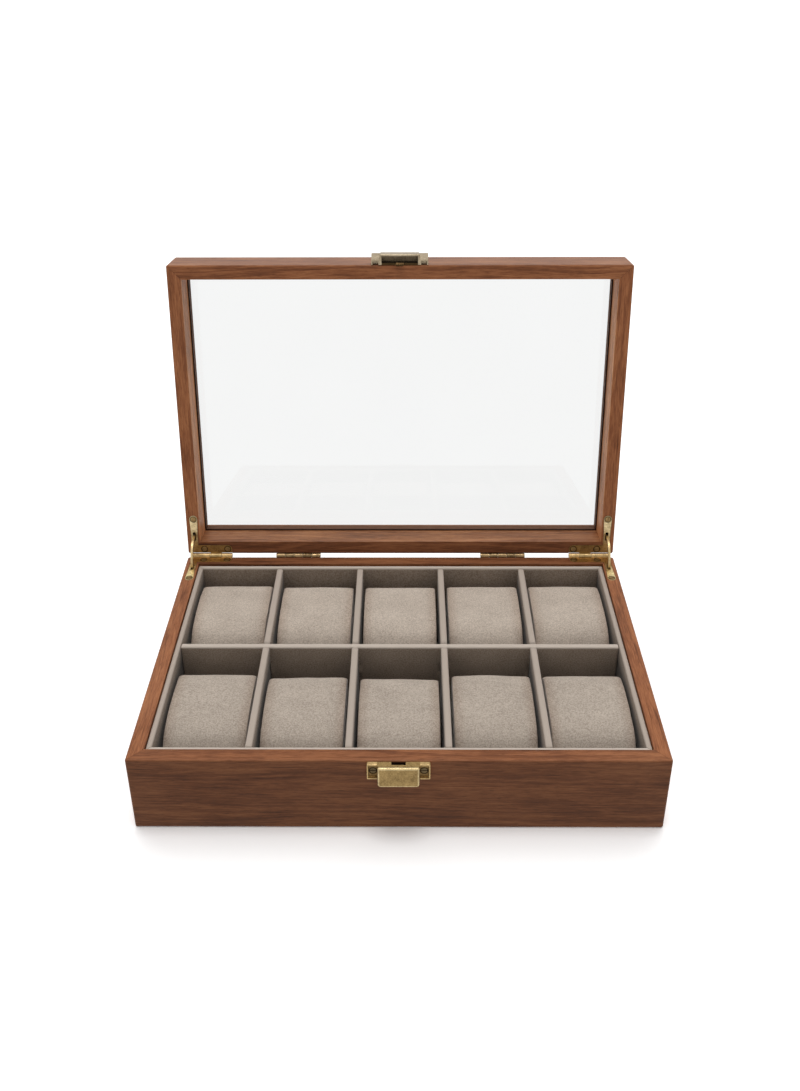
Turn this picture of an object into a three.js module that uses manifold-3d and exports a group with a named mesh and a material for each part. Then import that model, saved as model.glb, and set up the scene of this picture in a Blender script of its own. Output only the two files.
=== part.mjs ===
// A ten-place watch and jewelry organizer: a mitred walnut case with suede linings, dividers and
// pillows, and a glazed lid that stands open on two quadrant hinges and two butt hinges.
// Millimetres, +Z up, the front faces -Y, the origin is the middle of the underside.
import * as THREE from "three";
import { mergeVertices } from "three/addons/utils/BufferGeometryUtils.js";
import Module from "manifold-3d";

// Case
const CASE_WIDTH = 330;
const CASE_DEPTH = 223.5;
const CASE_HEIGHT = 55.6;
const WALL = 9.8;
const CORNER_RADIUS = 1.5;
const EDGE_RADIUS = 1.2;
const MITRE_GAP = 0.1;
const BOTTOM_THICKNESS = 5;
const BOTTOM_REBATE = 5;
const FIT_GAP = 0.3;

// Lid
const LID_RAIL = 10.1;
const LID_HEIGHT = 33.5;
const LID_OPEN_ANGLE = 97.9;
const LID_GAP = 0.5;
const GLASS_THICKNESS = 2.2;
const GLASS_FROM_MATING_FACE = 29.1;
const GLASS_GROOVE_DEPTH = 4;
const GLAZING_STRIP_HEIGHT = 7.3;
const GLAZING_STRIP_THICKNESS = 0.9;
const SEAT_GAP = 0.1;

// Suede-covered boards
const FLOOR_THICKNESS = 2;
const LINING_THICKNESS = 3.4;
const LINING_GAP = 0.4;
const LINING_BELOW_RIM = 1.5;
const BOARD_EDGE_RADIUS = 1.1;
const BOARD_CORNER_RADIUS = 1.3;
const DIVIDER_THICKNESS = 4.5;
const DIVIDER_BELOW_RIM = 1.8;
const DIVIDER_EDGE_RADIUS = 1.2;
const LONG_DIVIDER_Y = 2.8;
const COLUMNS = 5;

// Pillows
const PILLOW_SIDE_GAP = 2.28;
const PILLOW_END_ROOM = 16.6;
const PILLOW_HEIGHT = 40.5;
const PILLOW_REAR_SHOULDER_RADIUS = 10;
const PILLOW_FRONT_SHOULDER_RADIUS = 25;
const PILLOW_FOOT_RADIUS = 5;
const PILLOW_SIDE_RADIUS = 2.6;
const PILLOW_ARCH = 1.2;
const PILLOW_CROWN = 0.8;
const PILLOW_DRAW_IN = 0.6;
const PILLOW_SIDE_STEPS = 3;
const PILLOW_SHOULDER_STEPS = 6;
const PILLOW_TOP_STEPS = 4;
const REAR_PILLOW_GAPS = [7.5, 8.6, 9, 8.1, 7.6];
const FRONT_PILLOW_GAPS = [7.2, 4.3, 2.9, 6.7, 6.3];

// Hinges, all on one pin line behind the rear face
const PIN_BEHIND_REAR = 1.6;
const PIN_RADIUS = 0.9;
const PIN_CLEARANCE = 0.1;
const BARREL_RADIUS = 2.2;
const BARREL_CLEARANCE = 0.3;
const KNUCKLE_GAP = 0.3;
const LEAF_THICKNESS = 1.5;
const LEAF_SIDE_GAP = 0.2;
const ROUND_STEPS = 16;

// Quadrant hinges
const QUADRANT_FROM_SIDE = 3.3;
const QUADRANT_REAR_LEG_LENGTH = 31;
const QUADRANT_REAR_LEG_WIDTH = 7.1;
const QUADRANT_SIDE_LEG_LENGTH = 31.8;
const QUADRANT_SIDE_LEG_WIDTH = 5;
const QUADRANT_LEG_END_RADIUS = 3;
const QUADRANT_REAR_LEG_END_RADIUS = 3.4;
const QUADRANT_BARREL_FROM_SIDE = 3.8;
const QUADRANT_OUTER_KNUCKLE = 13.4;
const QUADRANT_MIDDLE_KNUCKLE = 9.2;
const QUADRANT_SCREW_FROM_END = 3.4;
const QUADRANT_SCREW_FROM_SIDE = 9.6;
const QUADRANT_SCREW_BEFORE_MIDDLE = 0.3;
const STAY_RADIUS = 16;
const STAY_WIDTH = 3;
const STAY_THICKNESS = 1.6;
const STAY_STUD_RADIUS = 1.2;
const STAY_STUD_LENGTH = 3.6;
const STAY_SLOT_WIDTH = 2.4;
const STAY_SLOT_END_FLAT = 0.05;
const STAY_SLOT_CLEARANCE = 2.2;
const STAY_POCKET_SIDE_GAP = 0.3;
const STAY_POCKET_END_GAP = 0.8;
const STAY_STEPS = 36;

// Butt hinges
const BUTT_FROM_MIDDLE = 79.2;
const BUTT_WIDTH = 34.2;
const BUTT_LEAF_HEIGHT = 14;
const BUTT_LEAF_THICKNESS = 1.2;
const BUTT_KNUCKLES = 5;
const BUTT_SCREW_SPACING = 20;

// Countersunk screw holes in the leaves
const SCREW_HOLE_RADIUS = 1.2;
const SCREW_SINK_RADIUS = 2.2;
const SCREW_SINK_DEPTH = 1;
const SCREW_HOLE_STEPS = 14;

// Latch
const LATCH_BODY_WIDTH = 25.2;
const LATCH_BODY_HEIGHT = 14.8;
const LATCH_BELOW_RIM = 0.7;
const LATCH_BODY_DEPTH = 4.3;
const LATCH_SHEET = 1.2;
const LATCH_SLOT_WIDTH = 8.7;
const LATCH_SLOT_DEPTH = 2.7;
const LATCH_EAR_WIDTH = 6.6;
const LATCH_EAR_HEIGHT = 11.9;
const LATCH_EAR_RIM_WIDTH = 0.9;
const LATCH_EAR_RIM_HEIGHT = 2.6;
const LATCH_CORNER_RADIUS = 0.8;
const LATCH_PIN_BELOW_TOP = 7.5;
const LATCH_PIN_FROM_WALL = 2.6;
const LATCH_PIN_RADIUS = 0.8;
const LATCH_LUG_THICKNESS = 1.2;
const BUTTON_THICKNESS = 1.7;
const BUTTON_BEVEL = 0.8;
const BUTTON_CORNER_RADIUS = 1.9;
const BUTTON_TOP_RADIUS = 0.9;
const BUTTON_PRESS_ANGLE = 8;
const HOOK_WIDTH = 5.4;
const HOOK_THICKNESS = 1;
const HOOK_REACH = 5;
const HOOK_NOSE_DEPTH = 1;
const HOOK_NOSE_HEIGHT = 1.2;
const CATCH_GAP = 0.3;
const CATCH_BITE = 0.5;
const CATCH_HEIGHT = 1;
const CATCH_WIDTH = 10;
const KEEPER_HOOD_WIDTH = 28.2;
const KEEPER_HOOD_DEPTH = 7.5;
const KEEPER_HOOD_HEIGHT = 10;
const KEEPER_SHEET = 1.3;
const KEEPER_CORNER_RADIUS = 0.9;
const KEEPER_EAR_WIDTH = 6;
const KEEPER_EAR_LOW = 3.7;
const KEEPER_EAR_HIGH = 6.8;
const KEEPER_EAR_FOOT_SHEET = 0.9;
const LATCH_SCREW_HEAD_RADIUS = 2;
const LATCH_SCREW_SHANK_RADIUS = 0.9;
const LATCH_SCREW_LENGTH = 8;
const LATCH_SCREW_SLOT = 0.5;
const SPRING_WIDTH = 8;
const SPRING_SHEET = 0.4;

const LEFT = -1;
const RIGHT = 1;
const MARGIN = 5;
const THROUGH = 1;
const MERGE_DISTANCE = 1e-4;

// Places that follow from the sizes above
const SIDE_FACE = CASE_WIDTH / 2;
const REAR_FACE = CASE_DEPTH / 2;
const FRONT_FACE = -REAR_FACE;
const RIM = CASE_HEIGHT;
const LID_FACE = RIM + LID_GAP;
const LID_TOP = LID_FACE + LID_HEIGHT;
const PIN_Y = REAR_FACE + PIN_BEHIND_REAR;
const PIN_Z = RIM;
const FLOOR_TOP = BOTTOM_THICKNESS + FLOOR_THICKNESS;
const LINING_TOP = RIM - LINING_BELOW_RIM;
const DIVIDER_TOP = RIM - DIVIDER_BELOW_RIM;
const LINING_OUTER_X = SIDE_FACE - WALL - LINING_GAP;
const LINING_OUTER_Y = REAR_FACE - WALL - LINING_GAP;
const LINING_INNER_X = LINING_OUTER_X - LINING_THICKNESS;
const LINING_INNER_Y = LINING_OUTER_Y - LINING_THICKNESS;
const DIVIDERS = COLUMNS - 1;
const CELL_WIDTH = (2 * LINING_INNER_X - DIVIDERS * DIVIDER_THICKNESS) / COLUMNS;
const CELL_PITCH = CELL_WIDTH + DIVIDER_THICKNESS;
const REAR_CELL_DEPTH = LINING_INNER_Y - LONG_DIVIDER_Y - DIVIDER_THICKNESS / 2;
const PILLOW_WIDTH = CELL_WIDTH - 2 * PILLOW_SIDE_GAP;
const PILLOW_DEPTH = REAR_CELL_DEPTH - PILLOW_END_ROOM;

const wasm = await Module();
wasm.setup();

const radians = THREE.MathUtils.degToRad;
const COLOURS = {
  walnut: new THREE.MeshStandardMaterial({ color: 0x6f4a33, roughness: 0.5, metalness: 0 }),
  suede: new THREE.MeshStandardMaterial({ color: 0x9a8d80, roughness: 0.95, metalness: 0 }),
  pillow: new THREE.MeshStandardMaterial({ color: 0xa79a8d, roughness: 0.95, metalness: 0 }),
  brass: new THREE.MeshStandardMaterial({ color: 0x9c7f45, roughness: 0.38, metalness: 1 }),
  steel: new THREE.MeshStandardMaterial({ color: 0x8d8d8a, roughness: 0.35, metalness: 1 }),
  glass: new THREE.MeshStandardMaterial({
    color: 0xe6ecea,
    roughness: 0.05,
    metalness: 0,
    transparent: true,
    opacity: 0.3,
  }),
  strip: new THREE.MeshStandardMaterial({ color: 0x33241f, roughness: 0.7, metalness: 0 }),
};

// Solids and geometries

function solidOf(geometry) {
  const bare = geometry.index ? geometry.toNonIndexed() : geometry.clone();
  bare.deleteAttribute("normal");
  bare.deleteAttribute("uv");
  const merged = mergeVertices(bare, MERGE_DISTANCE);
  return new wasm.Manifold(
    new wasm.Mesh({
      numProp: 3,
      vertProperties: new Float32Array(merged.attributes.position.array),
      triVerts: new Uint32Array(merged.index.array),
    }),
  );
}

function geometryOf(solid) {
  const mesh = solid.getMesh();
  const geometry = new THREE.BufferGeometry();
  geometry.setAttribute("position", new THREE.BufferAttribute(mesh.vertProperties, mesh.numProp));
  geometry.setIndex(new THREE.BufferAttribute(mesh.triVerts, 1));
  const flat = geometry.toNonIndexed();
  flat.computeVertexNormals();
  return flat;
}

function joined(...solids) {
  return solids.reduce((whole, next) => whole.add(next));
}

function cut(solid, ...tools) {
  return tools.reduce((rest, tool) => rest.subtract(tool), solid);
}

function block([x0, x1], [y0, y1], [z0, z1]) {
  const geometry = new THREE.BoxGeometry(x1 - x0, y1 - y0, z1 - z0);
  geometry.translate((x0 + x1) / 2, (y0 + y1) / 2, (z0 + z1) / 2);
  return solidOf(geometry);
}

// A rod along X.
function rod(x0, x1, y, z, radius, steps = ROUND_STEPS) {
  const geometry = new THREE.CylinderGeometry(radius, radius, x1 - x0, steps);
  geometry.rotateZ(Math.PI / 2);
  geometry.translate((x0 + x1) / 2, y, z);
  return solidOf(geometry);
}

// An outline of points in the YZ plane, carried along X.
function prismX(outline, x0, x1) {
  const shape = outline instanceof THREE.Shape ? outline : shapeOf(outline);
  const geometry = new THREE.ExtrudeGeometry(shape, {
    depth: x1 - x0,
    bevelEnabled: false,
    curveSegments: STAY_STEPS,
  });
  const turn = new THREE.Matrix4().makeBasis(
    new THREE.Vector3(0, 1, 0),
    new THREE.Vector3(0, 0, 1),
    new THREE.Vector3(1, 0, 0),
  );
  geometry.applyMatrix4(turn);
  geometry.translate(x0, 0, 0);
  return solidOf(geometry);
}

// An outline in the XY plane, carried up.
function prismZ(outline, z0, z1) {
  const shape = outline instanceof THREE.Shape ? outline : shapeOf(outline);
  const geometry = new THREE.ExtrudeGeometry(shape, {
    depth: z1 - z0,
    bevelEnabled: false,
    curveSegments: ROUND_STEPS / 2,
  });
  geometry.translate(0, 0, z0);
  return solidOf(geometry);
}

// An outline in the XZ plane, carried forwards from y, with its far edge rounded over.
function plateForward(shape, y, depth, bevel) {
  const geometry = new THREE.ExtrudeGeometry(shape, {
    depth: depth - bevel,
    bevelEnabled: bevel > 0,
    bevelThickness: bevel,
    bevelSize: bevel,
    bevelOffset: -bevel,
    bevelSegments: 3,
    curveSegments: 4,
  });
  const turn = new THREE.Matrix4().makeBasis(
    new THREE.Vector3(1, 0, 0),
    new THREE.Vector3(0, 0, 1),
    new THREE.Vector3(0, -1, 0),
  );
  geometry.applyMatrix4(turn);
  geometry.translate(0, y, 0);
  const behind = block(
    [-CASE_WIDTH, CASE_WIDTH],
    [y, y + bevel + MARGIN],
    [-CASE_WIDTH, CASE_WIDTH],
  );
  return cut(solidOf(geometry), behind);
}

function shapeOf(points) {
  return new THREE.Shape(points.map(([u, v]) => new THREE.Vector2(u, v)));
}

// A rectangle with its own radius at the two lower and the two upper corners.
function roundedRectangle([u0, u1], [v0, v1], lower, upper = lower) {
  const shape = new THREE.Shape();
  shape.moveTo(u0 + lower, v0);
  shape.absarc(u1 - lower, v0 + lower, lower, -Math.PI / 2, 0);
  shape.absarc(u1 - upper, v1 - upper, upper, 0, Math.PI / 2);
  shape.absarc(u0 + upper, v1 - upper, upper, Math.PI / 2, Math.PI);
  shape.absarc(u0 + lower, v0 + lower, lower, Math.PI, Math.PI * 1.5);
  return shape;
}

// A slab with rounded upright corners, its top and bottom edges rounded over.
function roundedSlab(halfX, halfY, [z0, z1], corner, edge, holeX = 0, holeY = 0) {
  const shape = roundedRectangle([-halfX, halfX], [-halfY, halfY], corner);
  if (holeX > 0) {
    shape.holes.push(roundedRectangle([-holeX, holeX], [-holeY, holeY], corner));
  }
  const geometry = new THREE.ExtrudeGeometry(shape, {
    depth: z1 - z0 - 2 * edge,
    bevelThickness: edge,
    bevelSize: edge,
    bevelOffset: -edge,
    bevelSegments: 3,
    curveSegments: 4,
  });
  geometry.translate(0, 0, z0 + edge);
  return solidOf(geometry);
}

// The part of a frame that belongs to one side: what lies between its two mitre planes.
function mitreWedge(side, halfX, halfY, [z0, z1]) {
  const gap = MITRE_GAP / Math.SQRT2;
  const reach = Math.min(halfX, halfY) - MARGIN;
  const across = side === "front" || side === "rear";
  const half = (across ? halfX : halfY) - gap;
  const face = across ? halfY : halfX;
  const outline = [
    [-half - MARGIN, -face - MARGIN],
    [half + MARGIN, -face - MARGIN],
    [half - reach, -face + reach],
    [-half + reach, -face + reach],
  ];
  const turns = { front: 0, right: 1, rear: 2, left: 3 };
  const shape = shapeOf(outline);
  const geometry = new THREE.ExtrudeGeometry(shape, { depth: z1 - z0, bevelEnabled: false });
  geometry.rotateZ((turns[side] * Math.PI) / 2);
  geometry.translate(0, 0, z0);
  return solidOf(geometry);
}

function mitredPieces(ring, halfX, halfY, heights) {
  const sides = ["front", "rear", "left", "right"];
  return Object.fromEntries(
    sides.map((side) => [side, ring.intersect(mitreWedge(side, halfX, halfY, heights))]),
  );
}

// A profile of radius and height turned about a line through a point, heights along a direction.
function turned(profile, point, direction) {
  const outline = profile.map(([r, h]) => new THREE.Vector2(r, h));
  const geometry = new THREE.LatheGeometry(outline, SCREW_HOLE_STEPS);
  const turn = new THREE.Quaternion().setFromUnitVectors(
    new THREE.Vector3(0, 1, 0),
    new THREE.Vector3(...direction),
  );
  geometry.applyQuaternion(turn);
  geometry.translate(...point);
  return solidOf(geometry);
}

// A countersunk hole whose mouth lies at a point, opening along a direction.
function countersunkHole(point, direction, through) {
  const profile = [
    [0, -through],
    [SCREW_HOLE_RADIUS, -through],
    [SCREW_HOLE_RADIUS, -SCREW_SINK_DEPTH],
    [SCREW_SINK_RADIUS, 0],
    [SCREW_SINK_RADIUS, MARGIN],
    [0, MARGIN],
  ];
  return turned(profile, point, direction);
}

// The same solid on the other side of the middle.
function mirrored(solid) {
  const geometry = geometryOf(solid);
  geometry.scale(-1, 1, 1);
  const corners = geometry.attributes.position;
  for (let i = 0; i < corners.count; i += 3) {
    const second = new THREE.Vector3().fromBufferAttribute(corners, i + 1);
    const third = new THREE.Vector3().fromBufferAttribute(corners, i + 2);
    corners.setXYZ(i + 1, third.x, third.y, third.z);
    corners.setXYZ(i + 2, second.x, second.y, second.z);
  }
  return solidOf(geometry);
}

function onSide(side, solid) {
  return side === LEFT ? mirrored(solid) : solid;
}

// The object

const organizer = new THREE.Group();
const lid = new THREE.Group();
lid.position.set(0, PIN_Y, PIN_Z);
lid.rotation.x = -radians(LID_OPEN_ANGLE);
organizer.add(lid);

function addTo(group, name, solid, material) {
  const geometry = geometryOf(solid);
  geometry.translate(-group.position.x, -group.position.y, -group.position.z);
  const mesh = new THREE.Mesh(geometry, material);
  mesh.name = name;
  group.add(mesh);
}

const addToCase = (name, solid, material) => addTo(organizer, name, solid, material);
const addToLid = (name, solid, material) => addTo(lid, name, solid, material);

// Quadrant hinges: sizes shared by the leaves, the stays and the pockets in the wood

const STAY_X = SIDE_FACE - QUADRANT_FROM_SIDE - QUADRANT_SIDE_LEG_WIDTH / 2;
const QUADRANT_OUTER_X = SIDE_FACE - QUADRANT_FROM_SIDE;
const QUADRANT_INNER_X = QUADRANT_OUTER_X - QUADRANT_REAR_LEG_LENGTH;
const QUADRANT_LEG_END_Y = REAR_FACE - QUADRANT_SIDE_LEG_LENGTH;
const BARREL_CLEAR_RADIUS = BARREL_RADIUS + BARREL_CLEARANCE;
const LEAF_REAR_Y = PIN_Y - BARREL_CLEAR_RADIUS;
const STAY_SLOT_NEAR_Y = PIN_Y - STAY_RADIUS - STAY_WIDTH / 2 - STAY_SLOT_CLEARANCE;
const STAY_SLOT_FAR_Y = PIN_Y - STAY_RADIUS + STAY_WIDTH / 2 + STAY_SLOT_CLEARANCE;
const STUD_BELOW_LEAF = LEAF_THICKNESS + FIT_GAP + STAY_STUD_RADIUS;
const STAY_CASE_ANGLE = -Math.asin(STUD_BELOW_LEAF / STAY_RADIUS);
const STAY_LID_ANGLE =
  radians(LID_OPEN_ANGLE) + Math.asin((LID_GAP + STUD_BELOW_LEAF) / STAY_RADIUS);
const STAY_END_ANGLE = (STAY_LID_ANGLE - STAY_CASE_ANGLE) / 2;
const STAY_OUTER_RADIUS = STAY_RADIUS + STAY_WIDTH / 2;
const STAY_POCKET_DEPTH = STAY_OUTER_RADIUS * Math.sin(STAY_END_ANGLE) + STAY_POCKET_END_GAP;
const STAY_POCKET_FAR_Y =
  PIN_Y - STAY_RADIUS * Math.cos(STAY_END_ANGLE) + STAY_WIDTH / 2 + STAY_POCKET_END_GAP;

// The L-shaped outline of a quadrant leaf, seen from above, on the right side.
function quadrantLeafOutline(grow, rearY) {
  const outerX = QUADRANT_OUTER_X + grow;
  const innerX = STAY_X - QUADRANT_SIDE_LEG_WIDTH / 2 - grow;
  const rearLegY = REAR_FACE - QUADRANT_REAR_LEG_WIDTH - grow;
  const endRadius = QUADRANT_LEG_END_RADIUS + grow;
  const endY = QUADRANT_LEG_END_Y + QUADRANT_LEG_END_RADIUS;
  const shape = new THREE.Shape();
  const cornerX = QUADRANT_INNER_X + QUADRANT_REAR_LEG_END_RADIUS;
  const cornerY = REAR_FACE - QUADRANT_REAR_LEG_WIDTH + QUADRANT_REAR_LEG_END_RADIUS;
  const cornerRadius = QUADRANT_REAR_LEG_END_RADIUS + grow;
  shape.moveTo(QUADRANT_INNER_X - grow, rearY);
  shape.lineTo(QUADRANT_INNER_X - grow, cornerY);
  shape.absarc(cornerX, cornerY, cornerRadius, Math.PI, 1.5 * Math.PI);
  shape.lineTo(innerX, rearLegY);
  shape.lineTo(innerX, STAY_SLOT_NEAR_Y);
  shape.lineTo(STAY_X - endRadius, endY);
  shape.absarc(STAY_X, endY, endRadius, Math.PI, 2 * Math.PI);
  shape.lineTo(outerX, STAY_SLOT_NEAR_Y);
  shape.lineTo(outerX, rearY);
  return shape;
}

function staySlot(z0, z1) {
  const half = STAY_SLOT_WIDTH / 2;
  const outline = roundedRectangle(
    [STAY_X - half, STAY_X + half],
    [STAY_SLOT_NEAR_Y, STAY_SLOT_FAR_Y],
    half - STAY_SLOT_END_FLAT / 2,
  );
  return prismZ(outline, z0, z1);
}

// The knuckles of the quadrant hinge along X: outer, middle and inner.
function quadrantKnuckles() {
  const outer = SIDE_FACE - QUADRANT_BARREL_FROM_SIDE;
  const second = outer - QUADRANT_OUTER_KNUCKLE;
  const third = second - QUADRANT_MIDDLE_KNUCKLE;
  return [
    [second + KNUCKLE_GAP / 2, outer],
    [third + KNUCKLE_GAP / 2, second - KNUCKLE_GAP / 2],
    [QUADRANT_INNER_X, third - KNUCKLE_GAP / 2],
  ];
}

// A barrel knuckle and the web that carries it from a leaf lying between two heights.
function knuckleOnLeaf([x0, x1], [z0, z1]) {
  const barrel = rod(x0, x1, PIN_Y, PIN_Z, BARREL_RADIUS);
  return joined(barrel, block([x0, x1], [LEAF_REAR_Y - THROUGH, PIN_Y], [z0, z1]));
}

function pinBore(x0, x1) {
  return rod(x0 - MARGIN, x1 + MARGIN, PIN_Y, PIN_Z, PIN_RADIUS + PIN_CLEARANCE);
}

const REAR_SCREW_Y = REAR_FACE - QUADRANT_REAR_LEG_WIDTH / 2 - QUADRANT_SCREW_BEFORE_MIDDLE;
const QUADRANT_SCREWS = [
  [STAY_X, QUADRANT_LEG_END_Y + QUADRANT_LEG_END_RADIUS],
  [QUADRANT_INNER_X + QUADRANT_SCREW_FROM_END, REAR_SCREW_Y],
  [QUADRANT_OUTER_X - QUADRANT_SCREW_FROM_SIDE, REAR_SCREW_Y],
];

function quadrantLeaf(faceZ, inward, knuckles) {
  const heights = inward < 0 ? [faceZ - LEAF_THICKNESS, faceZ] : [faceZ, faceZ + LEAF_THICKNESS];
  const plate = prismZ(quadrantLeafOutline(0, LEAF_REAR_Y), ...heights);
  const slot = staySlot(heights[0] - THROUGH, heights[1] + THROUGH);
  const withKnuckles = joined(plate, ...knuckles.map((span) => knuckleOnLeaf(span, heights)));
  const holes = QUADRANT_SCREWS.map(([x, y]) =>
    countersunkHole([x, y, faceZ], [0, 0, -inward], LEAF_THICKNESS + THROUGH),
  );
  return cut(withKnuckles, slot, pinBore(QUADRANT_INNER_X, SIDE_FACE), ...holes);
}

// The recess that a quadrant leaf lies in, the pocket that its stay runs in, and the barrel's groove.
function quadrantRecess(faceZ, inward) {
  const depth = LEAF_THICKNESS + SEAT_GAP;
  const inlay = inward < 0 ? [faceZ - depth, faceZ + THROUGH] : [faceZ - THROUGH, faceZ + depth];
  const pocket =
    inward < 0 ? [faceZ - STAY_POCKET_DEPTH, faceZ] : [faceZ, faceZ + STAY_POCKET_DEPTH];
  const half = STAY_STUD_LENGTH / 2 + STAY_POCKET_SIDE_GAP;
  const knuckles = quadrantKnuckles();
  return joined(
    prismZ(quadrantLeafOutline(LEAF_SIDE_GAP, REAR_FACE + THROUGH), ...inlay),
    block([STAY_X - half, STAY_X + half], [STAY_SLOT_NEAR_Y, STAY_POCKET_FAR_Y], pocket),
    rod(
      knuckles.at(-1)[0] - KNUCKLE_GAP,
      knuckles[0][1] + KNUCKLE_GAP,
      PIN_Y,
      PIN_Z,
      BARREL_CLEAR_RADIUS,
    ),
  );
}

// The stay at rest: an arc about the pin line, with a stud through each end that stops on the leaves.
function quadrantStay() {
  const inner = STAY_RADIUS - STAY_WIDTH / 2;
  const shape = new THREE.Shape();
  shape.absarc(PIN_Y, PIN_Z, STAY_OUTER_RADIUS, Math.PI - STAY_CASE_ANGLE, Math.PI - STAY_LID_ANGLE, true);
  shape.absarc(PIN_Y, PIN_Z, inner, Math.PI - STAY_LID_ANGLE, Math.PI - STAY_CASE_ANGLE, false);
  const half = STAY_THICKNESS / 2;
  const ends = [STAY_CASE_ANGLE, STAY_LID_ANGLE].map((angle) => {
    const y = PIN_Y - STAY_RADIUS * Math.cos(angle);
    const z = PIN_Z + STAY_RADIUS * Math.sin(angle);
    return joined(
      rod(STAY_X - half, STAY_X + half, y, z, STAY_WIDTH / 2),
      rod(STAY_X - STAY_STUD_LENGTH / 2, STAY_X + STAY_STUD_LENGTH / 2, y, z, STAY_STUD_RADIUS),
    );
  });
  return joined(prismX(shape, STAY_X - half, STAY_X + half), ...ends);
}

// Butt hinges, screwed to the rear faces

const BUTT_X0 = BUTT_FROM_MIDDLE - BUTT_WIDTH / 2;
const BUTT_X1 = BUTT_FROM_MIDDLE + BUTT_WIDTH / 2;

function buttLeaf(side) {
  const up = side === "lid";
  const pitch = BUTT_WIDTH / BUTT_KNUCKLES;
  const seat = REAR_FACE + (up ? SEAT_GAP : 0);
  const leafY = [seat, seat + BUTT_LEAF_THICKNESS];
  const clear = BARREL_CLEAR_RADIUS + BARREL_CLEARANCE;
  const plateZ = up ? [PIN_Z + clear, PIN_Z + BUTT_LEAF_HEIGHT] : [PIN_Z - BUTT_LEAF_HEIGHT, PIN_Z - clear];
  const tabZ = up ? [PIN_Z, PIN_Z + clear + THROUGH] : [PIN_Z - clear - THROUGH, PIN_Z];
  let leaf = block([BUTT_X0, BUTT_X1], leafY, plateZ);
  for (let i = up ? 1 : 0; i < BUTT_KNUCKLES; i += 2) {
    const x0 = BUTT_X0 + i * pitch + (i > 0 ? KNUCKLE_GAP / 2 : 0);
    const x1 = BUTT_X0 + (i + 1) * pitch - (i < BUTT_KNUCKLES - 1 ? KNUCKLE_GAP / 2 : 0);
    leaf = joined(leaf, rod(x0, x1, PIN_Y, PIN_Z, BARREL_RADIUS), block([x0, x1], leafY, tabZ));
  }
  const screwZ = (plateZ[0] + plateZ[1]) / 2;
  const holes = [LEFT, RIGHT].map((way) =>
    countersunkHole(
      [BUTT_FROM_MIDDLE + (way * BUTT_SCREW_SPACING) / 2, leafY[1], screwZ],
      [0, 1, 0],
      BUTT_LEAF_THICKNESS + THROUGH,
    ),
  );
  return cut(leaf, pinBore(BUTT_X0, BUTT_X1), ...holes);
}

const buttGroove = () =>
  rod(BUTT_X0 - KNUCKLE_GAP, BUTT_X1 + KNUCKLE_GAP, PIN_Y, PIN_Z, BARREL_CLEAR_RADIUS);

function hingeCuts(faceZ, inward) {
  const right = joined(quadrantRecess(faceZ, inward), buttGroove());
  return [right, mirrored(right)];
}

// Case walls and bottom

function caseWalls() {
  const heights = [0, RIM];
  const outer = roundedSlab(SIDE_FACE, REAR_FACE, heights, CORNER_RADIUS, EDGE_RADIUS);
  const innerX = SIDE_FACE - WALL;
  const innerY = REAR_FACE - WALL;
  const hollow = block([-innerX, innerX], [-innerY, innerY], [-MARGIN, RIM + MARGIN]);
  const rebate = block(
    [-innerX - BOTTOM_REBATE, innerX + BOTTOM_REBATE],
    [-innerY - BOTTOM_REBATE, innerY + BOTTOM_REBATE],
    [-MARGIN, BOTTOM_THICKNESS],
  );
  const pilot = latchScrewSolid(SEAT_GAP);
  const ring = cut(outer, hollow, rebate, ...hingeCuts(RIM, -1), pilot, mirrored(pilot));
  const walls = mitredPieces(ring, SIDE_FACE, REAR_FACE, [-MARGIN, RIM + MARGIN]);
  for (const [side, wall] of Object.entries(walls)) {
    addToCase("case_" + side + "_wall", wall, COLOURS.walnut);
  }
}

function caseBottom() {
  const halfX = SIDE_FACE - WALL + BOTTOM_REBATE - FIT_GAP;
  const halfY = REAR_FACE - WALL + BOTTOM_REBATE - FIT_GAP;
  const panel = block([-halfX, halfX], [-halfY, halfY], [0, BOTTOM_THICKNESS]);
  addToCase("case_bottom_panel", panel, COLOURS.walnut);
}

// Suede boards: floor, four wall linings, and the crossed dividers

function linings() {
  const floorBoard = block(
    [-LINING_OUTER_X, LINING_OUTER_X],
    [-LINING_OUTER_Y, LINING_OUTER_Y],
    [BOTTOM_THICKNESS, FLOOR_TOP],
  );
  addToCase("lining_floor", floorBoard, COLOURS.suede);
  const heights = [FLOOR_TOP, LINING_TOP];
  const ring = roundedSlab(
    LINING_OUTER_X,
    LINING_OUTER_Y,
    [FLOOR_TOP - BOARD_EDGE_RADIUS, LINING_TOP],
    BOARD_CORNER_RADIUS,
    BOARD_EDGE_RADIUS,
    LINING_INNER_X,
    LINING_INNER_Y,
  );
  const boards = mitredPieces(ring, LINING_OUTER_X, LINING_OUTER_Y, heights);
  for (const [side, board] of Object.entries(boards)) {
    addToCase("lining_" + side, board, COLOURS.suede);
  }
}

// A board on edge, its top rounded, running along X from -half to half.
function dividerBoard(half) {
  const thick = DIVIDER_THICKNESS / 2;
  const radius = DIVIDER_EDGE_RADIUS;
  const shape = new THREE.Shape();
  shape.moveTo(-thick, FLOOR_TOP);
  shape.lineTo(thick, FLOOR_TOP);
  shape.absarc(thick - radius, DIVIDER_TOP - radius, radius, 0, Math.PI / 2);
  shape.absarc(-thick + radius, DIVIDER_TOP - radius, radius, Math.PI / 2, Math.PI);
  const geometry = new THREE.ExtrudeGeometry(shape, {
    depth: 2 * half,
    bevelEnabled: false,
    curveSegments: 4,
  });
  const turn = new THREE.Matrix4().makeBasis(
    new THREE.Vector3(0, 1, 0),
    new THREE.Vector3(0, 0, 1),
    new THREE.Vector3(1, 0, 0),
  );
  geometry.applyMatrix4(turn);
  geometry.translate(-half, 0, 0);
  return geometry;
}

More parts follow.
